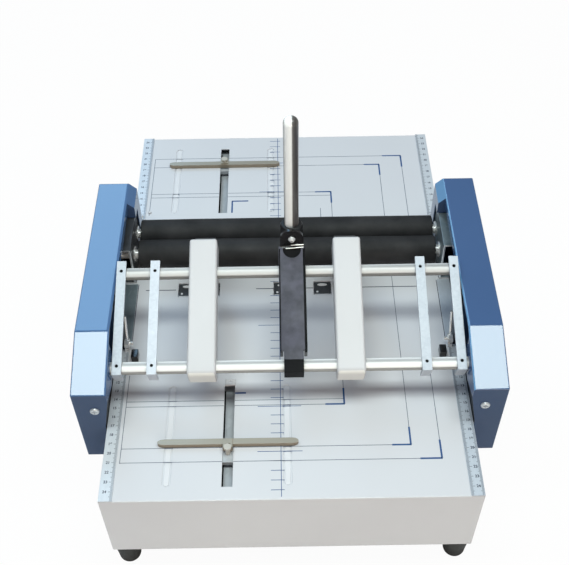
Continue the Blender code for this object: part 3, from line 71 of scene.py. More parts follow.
def pick(piece, *others):
    bpy.ops.object.select_all(action="DESELECT")
    for other in others:
        other.select_set(True)
    piece.select_set(True)
    bpy.context.view_layer.objects.active = piece


def settle(piece):
    pick(piece)
    bpy.ops.object.transform_apply(location=True, rotation=True, scale=True)
    return piece


def addBlock(name, low, high):
    bpy.ops.object.select_all(action="DESELECT")
    middle = [(a + b) / 2 for a, b in zip(low, high)]
    bpy.ops.mesh.primitive_cube_add(size=1, location=middle)
    piece = bpy.context.object
    piece.name = name
    piece.scale = [b - a for a, b in zip(low, high)]
    return settle(piece)


def addRod(name, start, end, radius, steps=32, endRadius=None):
    bpy.ops.object.select_all(action="DESELECT")
    start, end = Vector(start), Vector(end)
    along = end - start
    bpy.ops.mesh.primitive_cone_add(
        vertices=steps, radius1=radius, radius2=radius if endRadius is None else endRadius,
        depth=along.length, location=(start + end) / 2,
        rotation=along.to_track_quat("Z", "Y").to_euler())
    piece = bpy.context.object
    piece.name = name
    return settle(piece)


def addSlab(name, acrossX, alongY, heights, base=tableTop):
    # a block between two places in X and two in Y, with its heights measured from the table
    return addBlock(name, (min(acrossX), alongY[0], base + heights[0]),
                    (max(acrossX), alongY[1], base + heights[1]))


def addPeg(name, place, heights, radius, steps=32, base=tableTop):
    # an upright rod, with its heights measured in the same way
    return addRod(name, (*place, base + heights[0]), (*place, base + heights[1]), radius, steps)


def span(middle, half):
    return middle - half, middle + half


def editAll(piece):
    pick(piece)
    bpy.ops.object.mode_set(mode="EDIT")
    bpy.ops.mesh.select_all(action="SELECT")


def stopEditing():
    bpy.ops.object.mode_set(mode="OBJECT")


def pickParts(piece, kind, test):
    pick(piece)
    bpy.ops.object.mode_set(mode="EDIT")
    bpy.ops.mesh.select_mode(type=kind)
    bpy.ops.mesh.select_all(action="DESELECT")
    stopEditing()
    for part in piece.data.polygons if kind == "FACE" else piece.data.edges:
        part.select = bool(test(part))
    bpy.ops.object.mode_set(mode="EDIT")


def pickFaces(piece, test):
    pickParts(piece, "FACE", test)


def bevelEdges(piece, test, width, steps=4):
    # the test is given the two ends of an edge
    pickParts(piece, "EDGE", lambda edge: test(*(piece.data.vertices[i].co for i in edge.vertices)))
    bpy.ops.mesh.bevel(offset=width, segments=steps, profile=0.5, clamp_overlap=True)
    stopEditing()


def bevelTop(piece, top, width, steps):
    bevelEdges(piece, lambda a, b: min(a.z, b.z) > top - 0.0001, width, steps)


def insetFaces(piece, test, thickness, depth):
    pickFaces(piece, test)
    bpy.ops.mesh.inset(thickness=thickness, depth=0)
    bpy.ops.mesh.inset(thickness=0, depth=depth)
    stopEditing()


def sliceOff(piece, point, normal):
    editAll(piece)
    bpy.ops.mesh.bisect(plane_co=point, plane_no=normal, use_fill=True, clear_outer=True)
    stopEditing()


def sliceAt(piece, places):
    for point, normal in places:
        editAll(piece)
        bpy.ops.mesh.bisect(plane_co=point, plane_no=normal)
        stopEditing()


def growFaces(piece, test, amount):
    pickFaces(piece, test)
    bpy.ops.transform.shrink_fatten(value=amount)
    stopEditing()


def stretchPiece(piece, factors, centre):
    editAll(piece)
    bpy.ops.transform.resize(value=factors, center_override=centre)
    stopEditing()


def applyModifier(piece, kind, **settings):
    pick(piece)
    modifier = piece.modifiers.new(kind.lower(), kind)
    for key, value in settings.items():
        setattr(modifier, key, value)
    bpy.ops.object.modifier_apply(modifier=modifier.name)
    return piece


def soften(piece, width, steps=2, angle=30):
    return applyModifier(piece, "BEVEL", width=width, segments=steps, limit_method="ANGLE",
                         angle_limit=math.radians(angle), use_clamp_overlap=True)


def hollowOut(piece, test, wall):
    # takes away the faces below and gives the others a wall inwards
    pickFaces(piece, test)
    bpy.ops.mesh.delete(type="FACE")
    stopEditing()
    applyModifier(piece, "SOLIDIFY", thickness=wall, offset=-1, use_even_offset=True)


def cutOut(piece, *cutters):
    for cutter in cutters:
        applyModifier(piece, "BOOLEAN", operation="DIFFERENCE", solver="EXACT", object=cutter)
        bpy.data.objects.remove(cutter)
    return piece


def joinPieces(name, pieces):
    pick(*pieces)
    if len(pieces) > 1:
        bpy.ops.object.join()
    pieces[0].name = name
    return pieces[0]


def copyMesh(mesh, name):
    piece = bpy.data.objects.new(name, mesh.copy())
    bpy.context.scene.collection.objects.link(piece)
    return piece


def copyNode(node, name, width, steps=2, angle=30):
    piece = copyMesh(frame["nodes"][node].data, name)
    editAll(piece)
    bpy.ops.mesh.remove_doubles(threshold=0.000002)
    bpy.ops.mesh.dissolve_limited(angle_limit=math.radians(0.5))
    stopEditing()
    return soften(piece, width, steps, angle) if width else piece


def easeNode(node, name, look, slot, width, steps=2, angle=30):
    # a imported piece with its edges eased, on the body that carries it
    piece = copyNode(node, name, width, steps, angle)
    return finishPiece(piece, look, frame["nodes"][node]["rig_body"], slot, node)


def ontoFrame(piece):
    # a piece is modelled flat, with Y along the press frame and Z above its pivot line
    piece.rotation_euler.x = pressTilt
    piece.location = pressPivot
    return settle(piece)


def finishPiece(piece, look, body, slot, *nodes, smooth=35):
    pick(piece)
    bpy.ops.object.shade_smooth_by_angle(angle=math.radians(smooth))
    applyModifier(piece, "WEIGHTED_NORMAL", keep_sharp=True, weight=70)
    piece.data.materials.clear()
    piece.data.materials.append(looks[look])
    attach(piece, body)
    if nodes:
        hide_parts(*nodes)
    return piece


def secondLook(piece, look, test):
    piece.data.materials.append(looks[look])
    index = len(piece.data.materials) - 1
    for face in piece.data.polygons:
        if test(face):
            face.material_index = index


# Shader groups that several materials use

def addNode(tree, kind, **settings):
    node = tree.nodes.new("ShaderNode" + kind)
    for key, value in settings.items():
        setattr(node, key, value)
    return node


def setInputs(node, values):
    for key, value in values.items():
        node.inputs[key].default_value = value
    return node


def joinAll(tree, *links):
    for start, end in links:
        tree.links.new(start, end)


def startGroup(name, inputs, outputs):
    group = bpy.data.node_groups.new(name, "ShaderNodeTree")
    kinds = {"Vector": "Vector", "Base": "Color", "Tint": "Color", "Color": "Color"}
    for way, labels in (("INPUT", inputs), ("OUTPUT", outputs)):
        for label in labels.split():
            kind = "NodeSocket" + kinds.get(label, "Float")
            group.interface.new_socket(name=label, in_out=way, socket_type=kind)
    return group, group.nodes.new("NodeGroupInput").outputs, group.nodes.new("NodeGroupOutput").inputs


def addNoise(group, source, values):
    # its scale is the group's own input where none is given
    noise = setInputs(addNode(group, "TexNoise"), values)
    group.links.new(source["Vector"], noise.inputs["Vector"])
    if "Scale" not in values:
        group.links.new(source["Scale"], noise.inputs["Scale"])
    return noise.outputs["Fac"]


def tintBase(group, source, result, mask):
    # puts the tint on the base colour where the mask is high
    share = addNode(group, "Math", operation="MULTIPLY")
    blend = addNode(group, "Mix", data_type="RGBA")
    joinAll(group, (mask, share.inputs[0]), (source["Amount"], share.inputs[1]),
            (share.outputs[0], blend.inputs["Factor"]), (source["Base"], blend.inputs[6]),
            (source["Tint"], blend.inputs[7]), (blend.outputs[2], result["Color"]))


def spreadRoughness(group, source, result, value, low=0.3, high=0.7):
    spread = setInputs(addNode(group, "MapRange"), {"From Min": low, "From Max": high})
    joinAll(group, (value, spread.inputs["Value"]), (source["Low"], spread.inputs["To Min"]),
            (source["High"], spread.inputs["To Max"]), (spread.outputs["Result"], result["Roughness"]))


def makeMottle():
    # slow, cloudy change between two colours
    group, source, result = startGroup("mottle", "Vector Base Tint Scale Amount", "Color")
    spread = setInputs(addNode(group, "MapRange"), {"From Min": 0.32, "From Max": 0.68})
    group.links.new(addNoise(group, source, {"Detail": 4}), spread.inputs["Value"])
    tintBase(group, source, result, spread.outputs["Result"])
    return group


def makeFineGrain():
    # small grain for paint, plastic and rubber, with the roughness that goes with it
    group, source, result = startGroup("fineGrain", "Vector Scale Low High", "Height Roughness")
    group.links.new(addNoise(group, source, {"Detail": 3}), result["Height"])
    spreadRoughness(group, source, result, addNoise(group, source, {"Scale": 22, "Detail": 4}))
    return group


def makeBrushed():
    # fine lines along a turned or drawn metal, set by the Mapping node in front of it
    group, source, result = startGroup("brushed", "Vector Base Tint Amount Low High",
                                       "Color Height Roughness")
    lines = addNoise(group, source, {"Scale": 1, "Detail": 5, "Roughness": 0.65})
    group.links.new(lines, result["Height"])
    tintBase(group, source, result, lines)
    spreadRoughness(group, source, result, lines)
    return group


def makeSpangle():
    # the crystal patches of zinc plating and galvanised sheet
    group, source, result = startGroup("spangle", "Vector Base Tint Scale Amount Low High",
                                       "Color Height Roughness")
    cells = addNode(group, "TexVoronoi")
    greys = addNode(group, "SeparateColor")
    cloud = addNoise(group, source, {"Scale": 60, "Detail": 5})
    both = addNode(group, "Math", operation="MULTIPLY")
    joinAll(group, (source["Vector"], cells.inputs["Vector"]), (source["Scale"], cells.inputs["Scale"]),
            (cells.outputs["Color"], greys.inputs[0]), (greys.outputs[0], both.inputs[0]),
            (cloud, both.inputs[1]), (greys.outputs[2], result["Height"]))
    tintBase(group, source, result, both.outputs[0])
    spreadRoughness(group, source, result, greys.outputs[1], 0, 1)
    return group


groups = {"mottle": makeMottle(), "fineGrain": makeFineGrain(),
          "brushed": makeBrushed(), "spangle": makeSpangle()}


def startLook(name, metallic, stretch, others):
    look = bpy.data.materials.new(name)
    look.use_nodes = True
    tree = look.node_tree
    shader = setInputs(tree.nodes["Principled BSDF"], {"Metallic": metallic, **others})
    place = addNode(tree, "TexCoord")
    mapping = setInputs(addNode(tree, "Mapping"), {"Scale": stretch})
    tree.links.new(place.outputs["Object"], mapping.inputs["Vector"])
    return look, tree, shader.inputs, mapping.outputs["Vector"]


def useGroup(tree, name, vector, values):
    node = setInputs(addNode(tree, "Group", node_tree=groups[name]), values)
    tree.links.new(vector, node.inputs["Vector"])
    return node.outputs


def coverShader(tree, shader, colour, surface, strength, distance):
    bump = setInputs(addNode(tree, "Bump"), {"Strength": strength, "Distance": distance})
    joinAll(tree, (colour["Color"], shader["Base Color"]), (surface["Roughness"], shader["Roughness"]),
            (surface["Height"], bump.inputs["Height"]), (bump.outputs["Normal"], shader["Normal"]))


def paintLook(name, base, tint, rough, grain, patch, amount, bump, others={}):
    look, tree, shader, vector = startLook(name, 0, (1, 1, 1), others)
    colour = useGroup(tree, "mottle", vector,
                      {"Base": (*base, 1), "Tint": (*tint, 1), "Scale": patch, "Amount": amount})
    surface = useGroup(tree, "fineGrain", vector, {"Scale": grain, "Low": rough[0], "High": rough[1]})
    coverShader(tree, shader, colour, surface, bump, 0.0002)
    return look


def metalLook(name, group, base, tint, rough, amount, bump, metallic, stretch=(1, 1, 1), **others):
    look, tree, shader, vector = startLook(name, metallic, stretch, {})
    surface = useGroup(tree, group, vector, {"Base": (*base, 1), "Tint": (*tint, 1), "Amount": amount,
                                             "Low": rough[0], "High": rough[1], **others})
    coverShader(tree, shader, surface, surface, bump, 0.0001)
    return look


def drawnLook(name, base, tint, rough, stretch, amount, bump, metallic):
    return metalLook(name, "brushed", base, tint, rough, amount, bump, metallic, stretch)


def zincLook(name, base, tint, rough, scale, amount, metallic):
    return metalLook(name, "spangle", base, tint, rough, amount, 0.04, metallic, Scale=scale)


def bandLook(name, axis, centre, radius, stops, rough, metallic, others={}):
    # painted reflections and painted shade that run along a turned bar, as base colour placed across it by
    # its own coordinates
    look, tree, shader, vector = startLook(name, metallic, (1, 1, 1), others)
    split = addNode(tree, "SeparateXYZ")
    across = setInputs(addNode(tree, "MapRange"), {"From Min": centre - radius, "From Max": centre + radius})
    bands = addNode(tree, "ValToRGB")
    ramp = bands.color_ramp
    while len(ramp.elements) < len(stops):
        ramp.elements.new(0.5)
    for element, (place, colour) in zip(ramp.elements, stops):
        element.position = place
        element.color = (*colour, 1)
    grain = useGroup(tree, "fineGrain", vector, {"Scale": 500, "Low": rough[0], "High": rough[1]})
    joinAll(tree, (vector, split.inputs[0]), (split.outputs[axis], across.inputs["Value"]),
            (across.outputs["Result"], bands.inputs["Fac"]), (bands.outputs["Color"], shader["Base Color"]),
            (grain["Roughness"], shader["Roughness"]))
    return look


# painted reflections: the light and dark bands across the handle tube and across the front rod; the rear
# rod's bands are a darker copy of the front rod's, painted shade
tubeReflectionBands = [(0.0, (0.10, 0.09, 0.09)), (0.06, (0.62, 0.61, 0.60)), (0.13, (0.94, 0.94, 0.94)),
             (0.52, (0.97, 0.97, 0.97)), (0.60, (0.12, 0.11, 0.11)), (0.80, (0.060, 0.055, 0.053)),
             (0.93, (0.11, 0.10, 0.10)), (1.0, (0.34, 0.33, 0.33))]
frontRodReflectionBands = [(0.0, (0.16, 0.16, 0.16)), (0.25, (0.24, 0.24, 0.24)), (0.50, (0.42, 0.42, 0.41)),
              (0.60, (0.22, 0.22, 0.22)), (0.66, (0.62, 0.62, 0.62)), (0.74, (0.92, 0.92, 0.92)),
              (0.95, (0.93, 0.93, 0.93)), (1.0, (0.40, 0.40, 0.41))]
rearRodShadedBands = [(place, tuple(0.72 * part for part in colour)) for place, colour in frontRodReflectionBands]
coat = {"Coat Weight": 1.0, "Coat Roughness": 0.08, "Coat IOR": 1.6, "Specular IOR Level": 0.0}
dull = {"Specular IOR Level": 0.28}

# roughness, grain, patches, tint share, bump and other inputs
coated = ((0.40, 0.5), 1300, 9, 0.6, 0.05, coat)
moulded = ((0.34, 0.44), 700, 10, 0.5, 0.04, dull)
printed = ((0.4, 0.5), 900, 60, 0.5, 0.05)
# a row has the material's two colours and its finish
paints = {
    "tablePaint": ((0.655, 0.654, 0.689), (0.615, 0.614, 0.652), (0.36, 0.48), 1100, 7, 0.5, 0.08),
    "paleTablePaint": ((0.72, 0.714, 0.745), (0.70, 0.695, 0.725), (0.36, 0.48), 1100, 7, 0.5, 0.05),
    # the left cover's blue is a lighter copy of the cover paint, painted sheen; the right cover's is the
    # deeper blue
    "blueCoverPaint": ((0.064, 0.140, 0.295), (0.056, 0.127, 0.275), *coated),
    "blueCoverPaintDeep": ((0.046, 0.103, 0.24), (0.040, 0.093, 0.22), *coated),
    # a lighter copy of the blue for the right cover's inner lip, painted light
    "blueCoverLip": ((0.120, 0.270, 0.480), (0.110, 0.255, 0.460), *coated),
    # a darker copy of the blue for the covers' front faces and floor plates, painted shade
    "blueCoverShade": ((0.049, 0.084, 0.172), (0.044, 0.077, 0.160),
                       (0.45, 0.55), 1300, 9, 0.6, 0.05, dull),
    "ivoryPlastic": ((0.59, 0.582, 0.603), (0.57, 0.562, 0.583), *moulded),
    # a lighter copy of the ivory for the staplers' front faces, painted light
    "ivoryFront": ((0.76, 0.75, 0.73), (0.73, 0.72, 0.70), *moulded),
    "blackPaint": ((0.022, 0.022, 0.027), (0.04, 0.04, 0.05), (0.30, 0.5), 1400, 60, 0.6, 0.3),
    "leverPaint": ((0.024, 0.024, 0.040), (0.062, 0.061, 0.090),
                   (0.40, 0.56), 700, 90, 1.0, 0.45, {"Specular IOR Level": 0.38}),
    "glossBlack": ((0.008, 0.008, 0.009), (0.018, 0.018, 0.02), (0.10, 0.22), 900, 40, 0.6, 0.06),
    "flatBlack": ((0.004, 0.004, 0.005), (0.009, 0.009, 0.010),
                  (0.55, 0.7), 900, 50, 0.6, 0.05, {"Specular IOR Level": 0.1}),
    "socketBlack": ((0.010, 0.010, 0.011), (0.020, 0.020, 0.022), (0.34, 0.46), 900, 50, 0.6, 0.1, dull),
    "footRubber": ((0.010, 0.010, 0.010), (0.022, 0.022, 0.022), (0.5, 0.7), 800, 70, 0.6, 0.3),
    "rollerRubber": ((0.010, 0.010, 0.011), (0.034, 0.033, 0.035), (0.55, 0.75), 600, 34, 0.8, 0.35, dull),
    "printedBlue": ((0.016, 0.070, 0.215), (0.03, 0.10, 0.27), *printed),
    "printedGrey": ((0.055, 0.075, 0.12), (0.11, 0.135, 0.19), (0.4, 0.5), 900, 60, 0.6, 0.05),
    "rulerInk": ((0.015, 0.02, 0.05), (0.04, 0.05, 0.09), *printed),
}
# roughness, how far the lines are drawn out, tint share, bump and metallic
ground = ((0.38, 0.5), (500, 160, 500), 0.8, 0.03, 0.25)
drawnMetals = {
    "brightChrome": ((0.92, 0.92, 0.92), (0.74, 0.74, 0.75),
                     (0.12, 0.24), (200, 200, 200), 0.4, 0.02, 0.7),
    "groundSteel": ((0.80, 0.80, 0.80), (0.70, 0.70, 0.71), (0.24, 0.32), (8, 300, 300), 0.4, 0.0, 0.45),
    "rulerSteel": ((0.71, 0.74, 0.79), (0.52, 0.56, 0.62), *ground),
    "wornRulerSteel": ((0.60, 0.64, 0.71), (0.40, 0.45, 0.52), *ground),
    "stopNickel": ((0.46, 0.42, 0.35), (0.33, 0.29, 0.23), (0.28, 0.42), (12, 700, 700), 0.6, 0.04, 0.6),
    "stopScrewSteel": ((0.62, 0.58, 0.52), (0.40, 0.36, 0.31),
                       (0.3, 0.42), (300, 300, 300), 0.6, 0.04, 0.35),
    # darker copies of the nickel for the bar's rear edge and its front faces, painted shade
    "stopEdge": ((0.10, 0.085, 0.08), (0.06, 0.05, 0.045), (0.3, 0.45), (12, 700, 700), 0.6, 0.04, 0.4),
    "stopBrass": ((0.34, 0.28, 0.21), (0.22, 0.17, 0.12), (0.3, 0.45), (12, 700, 700), 0.6, 0.04, 0.5),
    "bareSteel": ((0.66, 0.67, 0.69), (0.46, 0.47, 0.5), (0.22, 0.36), (14, 800, 800), 0.5, 0.04, 1.0),
}
# roughness, scale of the crystals, tint share and metallic
zincSheets = {
    # the inner left strip's zinc is a lighter copy, painted light; the other strips get a darker copy,
    # painted shade
    "zincStrip": ((0.57, 0.61, 0.68), (0.43, 0.47, 0.55), (0.42, 0.55), 420, 0.7, 0.08),
    "zincStripShade": ((0.50, 0.54, 0.60), (0.36, 0.40, 0.47), (0.42, 0.55), 420, 0.7, 0.08),
    "zincSteel": ((0.62, 0.65, 0.69), (0.42, 0.46, 0.50), (0.28, 0.45), 380, 0.7, 0.6),
    "galvanisedSheet": ((0.22, 0.27, 0.30), (0.11, 0.145, 0.17), (0.35, 0.55), 160, 0.8, 0.5),
    "slotSheet": ((0.47, 0.49, 0.52), (0.31, 0.335, 0.365), (0.35, 0.5), 160, 0.8, 0.1),
    "darkSheet": ((0.07, 0.075, 0.085), (0.035, 0.04, 0.05), (0.35, 0.55), 160, 0.8, 0.4),
}
rearRodHeight = pressPivot.z + rearRodAlong * math.sin(pressTilt)
# across which axis, the middle and the half width there, the painted reflection bands, roughness, metallic,
# others
bandedRods = {
    "handleChrome": ("X", 0.0045, 0.007, tubeReflectionBands, (0.16, 0.24), 0.06),
    "frontRodSteel": ("Z", pressPivot.z, 0.006, frontRodReflectionBands, (0.30, 0.36), 0, dull),
    "rearRodSteel": ("Z", rearRodHeight, 0.006, rearRodShadedBands, (0.30, 0.36), 0, dull),
}
looks = {}
for maker, rows in ((paintLook, paints), (drawnLook, drawnMetals), (zincLook, zincSheets),
                    (bandLook, bandedRods)):
    looks.update({name: maker(name, *row) for name, row in rows.items()})
print("materials ready")


# Tray with its flat table, the print on it and what stands on it

slots = (("front", -0.0585, -0.1795), ("rear", -0.0730, 0.1725))
windows = (-0.1074, -0.0820, -0.0055, 0.0372, 0.0580)


def makeTray():
    size = dict(edge=0.0007, fold=0.0006, seamY=-0.0945, seamHalf=0.156, seamHeights=(-0.0004, 0.00005),
                seamEdge=0.00002)
    easeNode("base_tray", "tray", "tablePaint", "table_paint", size["edge"], 3)
    seam = addSlab("table_seam", span(0, size["seamHalf"]), (size["seamY"], size["seamY"] + size["fold"]),
                   size["seamHeights"])
    finishPiece(soften(seam, size["seamEdge"], 1), "rulerInk", "base", "table_paint")


def makeSlotGuides():
    # galvanised channels below the two slots, seen through them, each with a dark strip along its inner
    # side, painted shade
    size = dict(half=0.013, reach=0.062, drop=0.0125, sheet=0.0012, gap=0.0017, edge=0.0003,
                side=(-0.0062, -0.0042), sideReach=0.0553, sideHeights=(-0.0108, -0.0090), sideEdge=0.0002)
    for place, x, y in slots:
        channel = addSlab(place + "_slot_guide", span(x, size["half"]), span(y, size["reach"]),
                          (-size["drop"], size["sheet"] - size["drop"]))
        pickFaces(channel, lambda face: abs(face.normal.x) > 0.9)
        bpy.ops.mesh.extrude_faces_move(TRANSFORM_OT_shrink_fatten={"value": size["sheet"]})
        stopEditing()
        pickFaces(channel, lambda face: face.normal.z > 0.9 and abs(face.center.x - x) > size["half"])
        rise = size["drop"] - size["sheet"] - size["gap"]
        bpy.ops.mesh.extrude_region_move(TRANSFORM_OT_translate={"value": (0, 0, rise)})
        stopEditing()
        finishPiece(soften(channel, size["edge"]), "slotSheet", "base", "zinc_steel")
        # the dark strip inside the channel is painted shade
        side = addSlab(place + "_slot_side_shade", [x + edge for edge in size["side"]],
                       span(y, size["sideReach"]), size["sideHeights"])
        finishPiece(soften(side, size["sideEdge"]), "flatBlack", "base", "black_paint")


def makeGrooveFloors():
    # pale rounded floors of the stamped grooves beside the slots, a painted highlight where the grooves
    # catch the light
    size = dict(half=0.0024, reach=0.0540, heights=(-0.0011, -0.0004), apart=0.0555, corner=0.0022,
                edge=0.0005)
    top = tableTop + size["heights"][1]
    floors = []
    for place, x, y in slots:
        for way in (-1, 1):
            floor = addSlab("floor", span(x + way * size["apart"], size["half"]), span(y, size["reach"]),
                            size["heights"])
            bevelEdges(floor, lambda a, b: abs(a.z - b.z) > 0.0001, size["corner"], 6)
            bevelTop(floor, top, size["edge"], 2)
            floors.append(floor)
    finishPiece(joinPieces("groove_floors", floors), "paleTablePaint", "base", "table_paint")


def breakLine(line, holes):
    # leaves out what would hang over a slot, the knife's slit or a window
    x0, x1 = sorted((line[0], line[2]))
    y0, y1 = sorted((line[1], line[3]))
    for xLow, yLow, xHigh, yHigh in holes:
        if not (x0 < xHigh and x1 > xLow and y0 < yHigh and y1 > yLow):
            continue
        parts = [(x0, y0, x0, yLow), (x0, yHigh, x0, y1)]
        if y0 == y1:
            parts = [(x0, y0, xLow, y0), (xHigh, y0, x1, y0)]
        return [piece for part in parts if part[0] < part[2] or part[1] < part[3]
                for piece in breakLine(part, holes)]
    return [(x0, y0, x1, y1)]


def makePrint():
    # machine coordinates in millimetres from the table's middle
    thick = [(-63, 136, -43.8, 136), (-62.4, 136, -62.4, 117), (-54, -133, -42.6, -133)]
    thin = [(-158.4, -141.5, 52.7, -141.5), (-157.5, 143.5, 52.7, 143.5),
            (-158.4, -209.6, -158.4, -110), (-157.5, 114, -157.5, 211), (39.5, 100, 39.5, 122.4)]
    # a format's right side, its front and rear side, and where the thick legs of its corners end
    formats = ((139.8, (-209, 119.8, -189.3), (211, 117.8, 191)),
               (112.5, (-194, 95, -174.6), (195.8, 94.6, 177)),
               (52.7, (-147.5, 34.4, -129), (149.5, 34.2, 131)))
    for right, front, rear in formats:
        thin.append((right, front[2], right, rear[2]))
        for left, (y, legX, legY) in ((-158.4, front), (-157.5, rear)):
            thick += [(legX, y, right + 0.6, y), (right, y, right, legY)]
            thin.append((left, y, legX, y))
    staple = [(-151.5, 1, -119.4, 1), (-33.8, 1, -15.2, 1), (19.6, 1, 28.2, 1), (79, 1, 146, 1)]
    scaleX, scaleY = -9, 1
    centre = [(scaleX, -246, scaleX, 246)]
    for tick in range(-24, 25):
        left, right = (22, 20) if tick % 5 == 0 else (9.5, 3)
        centre.append((scaleX - left, scaleY + 10 * tick, scaleX + right, scaleY + 10 * tick))
    slotHalf, slotReach, windowHalf, windowY = 5.2, 55.7, 9.7, 1
    holes = [(-148, 45, 148, 48.5)]
    holes += [(1000 * x - slotHalf, 1000 * y - slotReach, 1000 * x + slotHalf, 1000 * y + slotReach)
              for place, x, y in slots]
    holes += [(1000 * x - windowHalf, windowY - windowHalf, 1000 * x + windowHalf, windowY + windowHalf)
              for x in windows]
    heights = (-0.0002, 0.00004)
    sets = {"format_corners": (thick, 1.8, "printedBlue"), "format_lines": (thin, 0.55, "printedGrey"),
            "staple_line": (staple, 0.9, "rulerInk"), "centre_scale": (centre, 0.62, "printedBlue")}
    for name, (lines, width, look) in sets.items():
        made = []
        for x0, y0, x1, y1 in [part for line in lines for part in breakLine(line, holes)]:
            acrossX = span(x0, width / 2) if x0 == x1 else (x0, x1)
            alongY = span(y0, width / 2) if y0 == y1 else (y0, y1)
            made.append(addSlab(name, [x / 1000 for x in acrossX], [y / 1000 for y in alongY], heights))
        finishPiece(joinPieces(name, made), look, "base", "table_paint")


def makeFeet():
    size = dict(ring=0.00035, edge=0.0035, outward=0.0015, lowShare=0.92, highShare=1.06,
                cutShares=(0.35, 0.6, 0.7))
    for place, side, sign in corners:
        node = "foot_%s_%s" % (place, side)
        low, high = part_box(node)
        x, y = (low.x + high.x) / 2 + sign * size["outward"], (low.y + high.y) / 2
        radius, tall = (high.x - low.x) / 2, high.z - low.z
        foot = addRod(node + "_rubber", (x, y, low.z), (x, y, high.z), radius * size["lowShare"], 48,
                      radius * size["highShare"])
        sliceAt(foot, [((0, 0, low.z + share * tall), (0, 0, 1)) for share in size["cutShares"]])
        ring = [low.z + share * tall for share in size["cutShares"][1:]]
        growFaces(foot, lambda face: abs(face.normal.z) < 0.8 and ring[0] < face.center.z < ring[1],
                  size["ring"])
        finishPiece(soften(foot, size["edge"], 4), "footRubber", "base", "black_rubber", node)


def addNumber(number, place, size):
    bpy.ops.object.select_all(action="DESELECT")
    bpy.ops.object.text_add(location=place)
    word = bpy.context.object
    word.data.body = str(number)
    word.data.size = size["ink"]
    word.data.align_x = word.data.align_y = "CENTER"
    word.data.extrude = size["lift"]
    word.data.offset = size["weight"]
    bpy.ops.object.convert(target="MESH")
    return settle(word)


def makeRulers():
    size = dict(edge=0.00015, mark=0.00034, lift=0.00004, deep=-0.0002, gap=0.0002,
                reach={1: 0.0024, 5: 0.0034, 10: 0.0044}, numberX=0.0076, ink=0.0038, weight=0.0001,
                zero=0.001)
    ends = {"front": (-0.248, -0.079), "rear": (0.109, 0.248)}
    for place, side, sign in corners:
        first, last = ends[place]
        node = "ruler_%s_%s" % (place, side)
        low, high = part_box(node)
        ruler = copyNode(node, node + "_scale", size["edge"])
        inner, outer = sorted((low.x, high.x), key=abs)
        # the front right ruler is darker and has marks on both edges
        frontRight = node == "ruler_front_right"
        made = []
        for edge, way in [(inner, sign)] + ([(outer, -sign)] if frontRight else []):
            for step, reach in size["reach"].items():
                # the first mark that is a whole number of steps from the zero
                begin = first + (1 - round(first * 1000)) % step / 1000
                tick = addSlab("ticks", (edge + way * size["gap"], edge + way * reach),
                               span(begin, size["mark"] / 2), (size["deep"], size["lift"]), high.z)
                many = round((last - begin) * 1000) // step + 1
                applyModifier(tick, "ARRAY", count=many, use_relative_offset=False,
                              use_constant_offset=True, constant_offset_displace=(0, step / 1000, 0))
                made.append(tick)
        for number in range(8, 25):
            y = size["zero"] + (number if place == "rear" else -number) / 100
            if first - size["mark"] < y < last + size["mark"]:
                made.append(addNumber(number, (inner + sign * size["numberX"], y, high.z), size))
        finishPiece(joinPieces(node + "_marks", made), "rulerInk", "base", "bare_steel")
        finishPiece(ruler, "wornRulerSteel" if frontRight else "rulerSteel", "base", "bare_steel", node)


def makeAnvilInserts():
    # one die plate in each table window, with its bright staple groove, a pale lower rim and a dot
    size = dict(y=0.001, half=0.0088, heights=(-0.0017, -0.0011), edge=0.0002, grooveY=0.0062,
                grooveHalf=0.0052, grooveSide=0.0017, grooveHeights=(-0.0002, 0.0004), rim=0.0007,
                rimHeights=(-0.0002, 0.0006), dot=0.0012, dotX=-0.0055, dotY=-0.0035,
                dotHeights=(-0.0002, 0.0003))
    top, front = tableTop + size["heights"][1], size["y"] - size["half"]
    stretch = size["grooveHalf"] / size["grooveSide"]
    plates, grooves = [], []
    for x in windows:
        plates.append(addSlab("die", span(x, size["half"]), span(size["y"], size["half"]), size["heights"]))
        groove = addPeg("groove", (x, size["grooveY"]), size["grooveHeights"], size["grooveSide"], 32, top)
        stretchPiece(groove, (stretch, 1, 1), (x, size["grooveY"], top))
        rim = addSlab("rim", span(x, size["half"]), (front, front + size["rim"]), size["rimHeights"], top)
        dot = addPeg("dot", (x + size["dotX"], size["dotY"]), size["dotHeights"], size["dot"], 16, top)
        grooves += [groove, rim, dot]
    finishPiece(soften(joinPieces("anvil_dies", plates), size["edge"]), "darkSheet", "base", "black_paint")
    finishPiece(joinPieces("anvil_grooves", grooves), "paleTablePaint", "base", "bare_steel")


def makeClipAndScrew():
    # a clip beside the front slot, a screw and a bump beside the rear left ruler
    # a dome has its place, heights, radius, sides, bend and the steps of the bend
    size = dict(clip=((-0.0630, -0.0526), (-0.1240, -0.1170)), clipHeights=(0.0001, 0.0012), edge=0.0003,
                hole=0.0016, holeHeights=(-0.001, 0.004),
                screw=((-0.1666, 0.1115), (0.0010, 0.0030), 0.0030, 32, 0.0016, 5),
                bump=((-0.1570, 0.1190), (0.0001, 0.0016), 0.0021, 24, 0.0008, 4))
    clip = addSlab("slot_clip", *size["clip"], size["clipHeights"])
    middle = [sum(ends) / 2 for ends in size["clip"]]
    cutOut(clip, addPeg("cut", middle, size["holeHeights"], size["hole"], 24))
    finishPiece(soften(clip, size["edge"]), "ivoryPlastic", "base", "ivory_paint")
    for name, row, look, slot in (("ruler_screw", size["screw"], "brightChrome", "zinc_steel"),
                                  ("bump", size["bump"], "ivoryPlastic", "ivory_paint")):
        place, heights, radius, steps, bend, rounds = row
        dome = addPeg(name, place, heights, radius, steps)
        bevelTop(dome, tableTop + heights[1], bend, rounds)
        finishPiece(dome, look, "base", slot)


